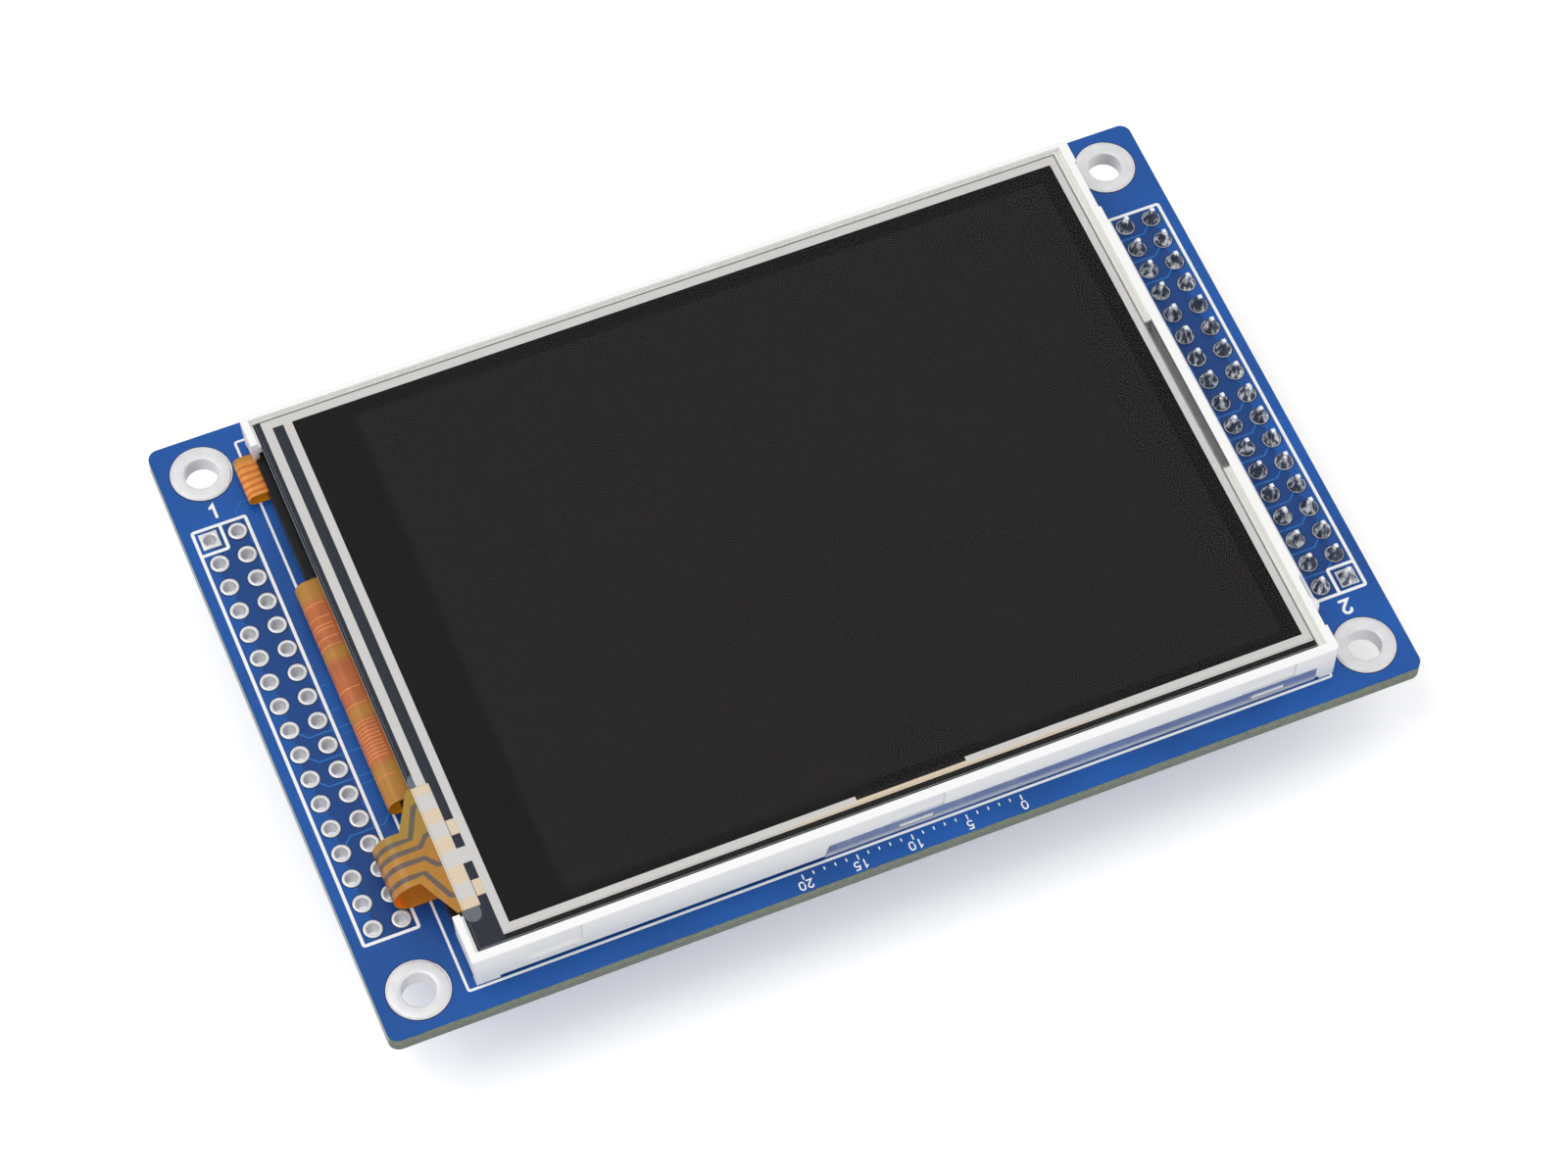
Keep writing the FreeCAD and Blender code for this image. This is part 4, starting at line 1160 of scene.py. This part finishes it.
class DISPLAY_OT_underside(bpy.types.Operator):
    """Finish the parts under the board"""
    bl_idname = "display_module.underside"
    bl_label = "Parts under the board"

    def execute(self, context):
        look = context.scene.board_look
        dress(plain_finish("chip_moulding", seen(40, 40, 42), 0.55, 6.0, depth=0.015), "touch_controller",
              "regulator", "backlight_transistor")
        dress(tin_finish("tinned_legs", look.tin_colour, 0.25, 0.01), "touch_controller_legs",
              "regulator_legs", "transistor_legs", "capacitor_ends", "resistor_ends")
        dress(plain_finish("tan_ceramic", seen(176, 148, 112), 0.45, 8.0, depth=0.008), "capacitors")
        dress(plain_finish("black_glaze", seen(36, 36, 40), 0.25, 5.0), "resistors")
        return {"FINISHED"}


class DISPLAY_OT_stage(bpy.types.Operator):
    """Lay the floor and set the lamps, the room light and the camera"""
    bl_idname = "display_module.stage"
    bl_label = "Stage"

    def execute(self, context):
        look = context.scene.stage_look
        scene = context.scene
        low = CAD_BOX[0][2]
        half = look.floor_size / 2
        mesh = bpy.data.meshes.new("floor")
        mesh.from_pydata([(-half, -half, low), (half, -half, low), (half, half, low), (-half, half, low)],
                         [], [(0, 1, 2, 3)])
        mesh.materials.append(floor_finish(look))
        floor = bpy.data.objects.new("floor", mesh)
        scene.collection.objects.link(floor)
        self.room(scene, look)
        self.lamp(scene, "soft_lamp", SOFT_LAMP, look.lamp_power, look.lamp_size)
        self.lamp(scene, "front_fill", FRONT_FILL, look.fill_power, look.lamp_size)
        self.camera(scene, look)
        scene.view_settings.view_transform = "Standard"
        return {"FINISHED"}

    def lamp(self, scene, name, spot, power, size):
        """A soft square lamp that faces the module."""
        lamp = bpy.data.lights.new(name, "AREA")
        lamp.energy = power
        lamp.size = size
        holder = bpy.data.objects.new(name, lamp)
        holder.location = spot
        holder.rotation_euler = (-holder.location).to_track_quat("-Z", "Y").to_euler()
        scene.collection.objects.link(holder)

    def room(self, scene, look):
        """Even light from all round, white behind the object."""
        world = bpy.data.worlds.new("room")
        scene.world = world
        world.use_nodes = True
        tree = world.node_tree
        sky = tree.nodes["Background"]
        feed(tree, sky.inputs["Color"], WHITE)
        feed(tree, sky.inputs["Strength"], seen_directly(tree).eased(0.0, 1.0, look.sky_level, 1.0))

    def camera(self, scene, look):
        """Camera at the photograph's place and angle."""
        data = bpy.data.cameras.new("camera")
        data.sensor_width = 36.0
        data.lens = look.lens
        data.clip_start = 0.01
        data.clip_end = 20.0
        camera = bpy.data.objects.new("camera", data)
        forward = Vector(CAMERA_FORWARD).normalized()
        right = forward.cross(Vector(CAMERA_UP)).normalized()
        turn = Matrix((right, right.cross(forward), -forward)).transposed().to_4x4()
        camera.matrix_world = Matrix.Translation(Vector(CAMERA_PLACE) * MM) @ turn
        scene.collection.objects.link(camera)
        scene.camera = camera


class DISPLAY_PT_panel(bpy.types.Panel):
    """Sizes, colours and makers of the display module's pieces"""
    bl_idname = "DISPLAY_PT_panel"
    bl_label = "Display module"
    bl_space_type = "VIEW_3D"
    bl_region_type = "UI"
    bl_category = "Display module"

    def draw(self, context):
        layout = self.layout
        for name, group, title in LOOKS:
            box = layout.box()
            box.label(text=title)
            for setting in group.__annotations__:
                box.prop(getattr(context.scene, name), setting)
        column = layout.column()
        for maker in MAKERS:
            column.operator(maker.bl_idname)


LOOKS = (("board_look", BoardLook, "Board"), ("screen_look", ScreenLook, "Screen"),
         ("flex_look", FlexLook, "Flex films"), ("stage_look", StageLook, "Stage"))
MAKERS = (DISPLAY_OT_board, DISPLAY_OT_rings, DISPLAY_OT_header, DISPLAY_OT_frame, DISPLAY_OT_backlight,
          DISPLAY_OT_screen, DISPLAY_OT_films, DISPLAY_OT_underside, DISPLAY_OT_stage)


def register():
    for name, group, title in LOOKS:
        bpy.utils.register_class(group)
        setattr(bpy.types.Scene, name, PointerProperty(type=group))
    for maker in MAKERS:
        bpy.utils.register_class(maker)
    bpy.utils.register_class(DISPLAY_PT_panel)


def unregister():
    bpy.utils.unregister_class(DISPLAY_PT_panel)
    for maker in reversed(MAKERS):
        bpy.utils.unregister_class(maker)
    for name, group, title in reversed(LOOKS):
        delattr(bpy.types.Scene, name)
        bpy.utils.unregister_class(group)


def main():
    register()
    bpy.ops.display_module.board()
    bpy.ops.display_module.rings()
    bpy.ops.display_module.header()
    bpy.ops.display_module.frame()
    bpy.ops.display_module.backlight()
    bpy.ops.display_module.screen()
    bpy.ops.display_module.films()
    bpy.ops.display_module.underside()
    bpy.ops.display_module.stage()


if __name__ == "__main__":
    main()
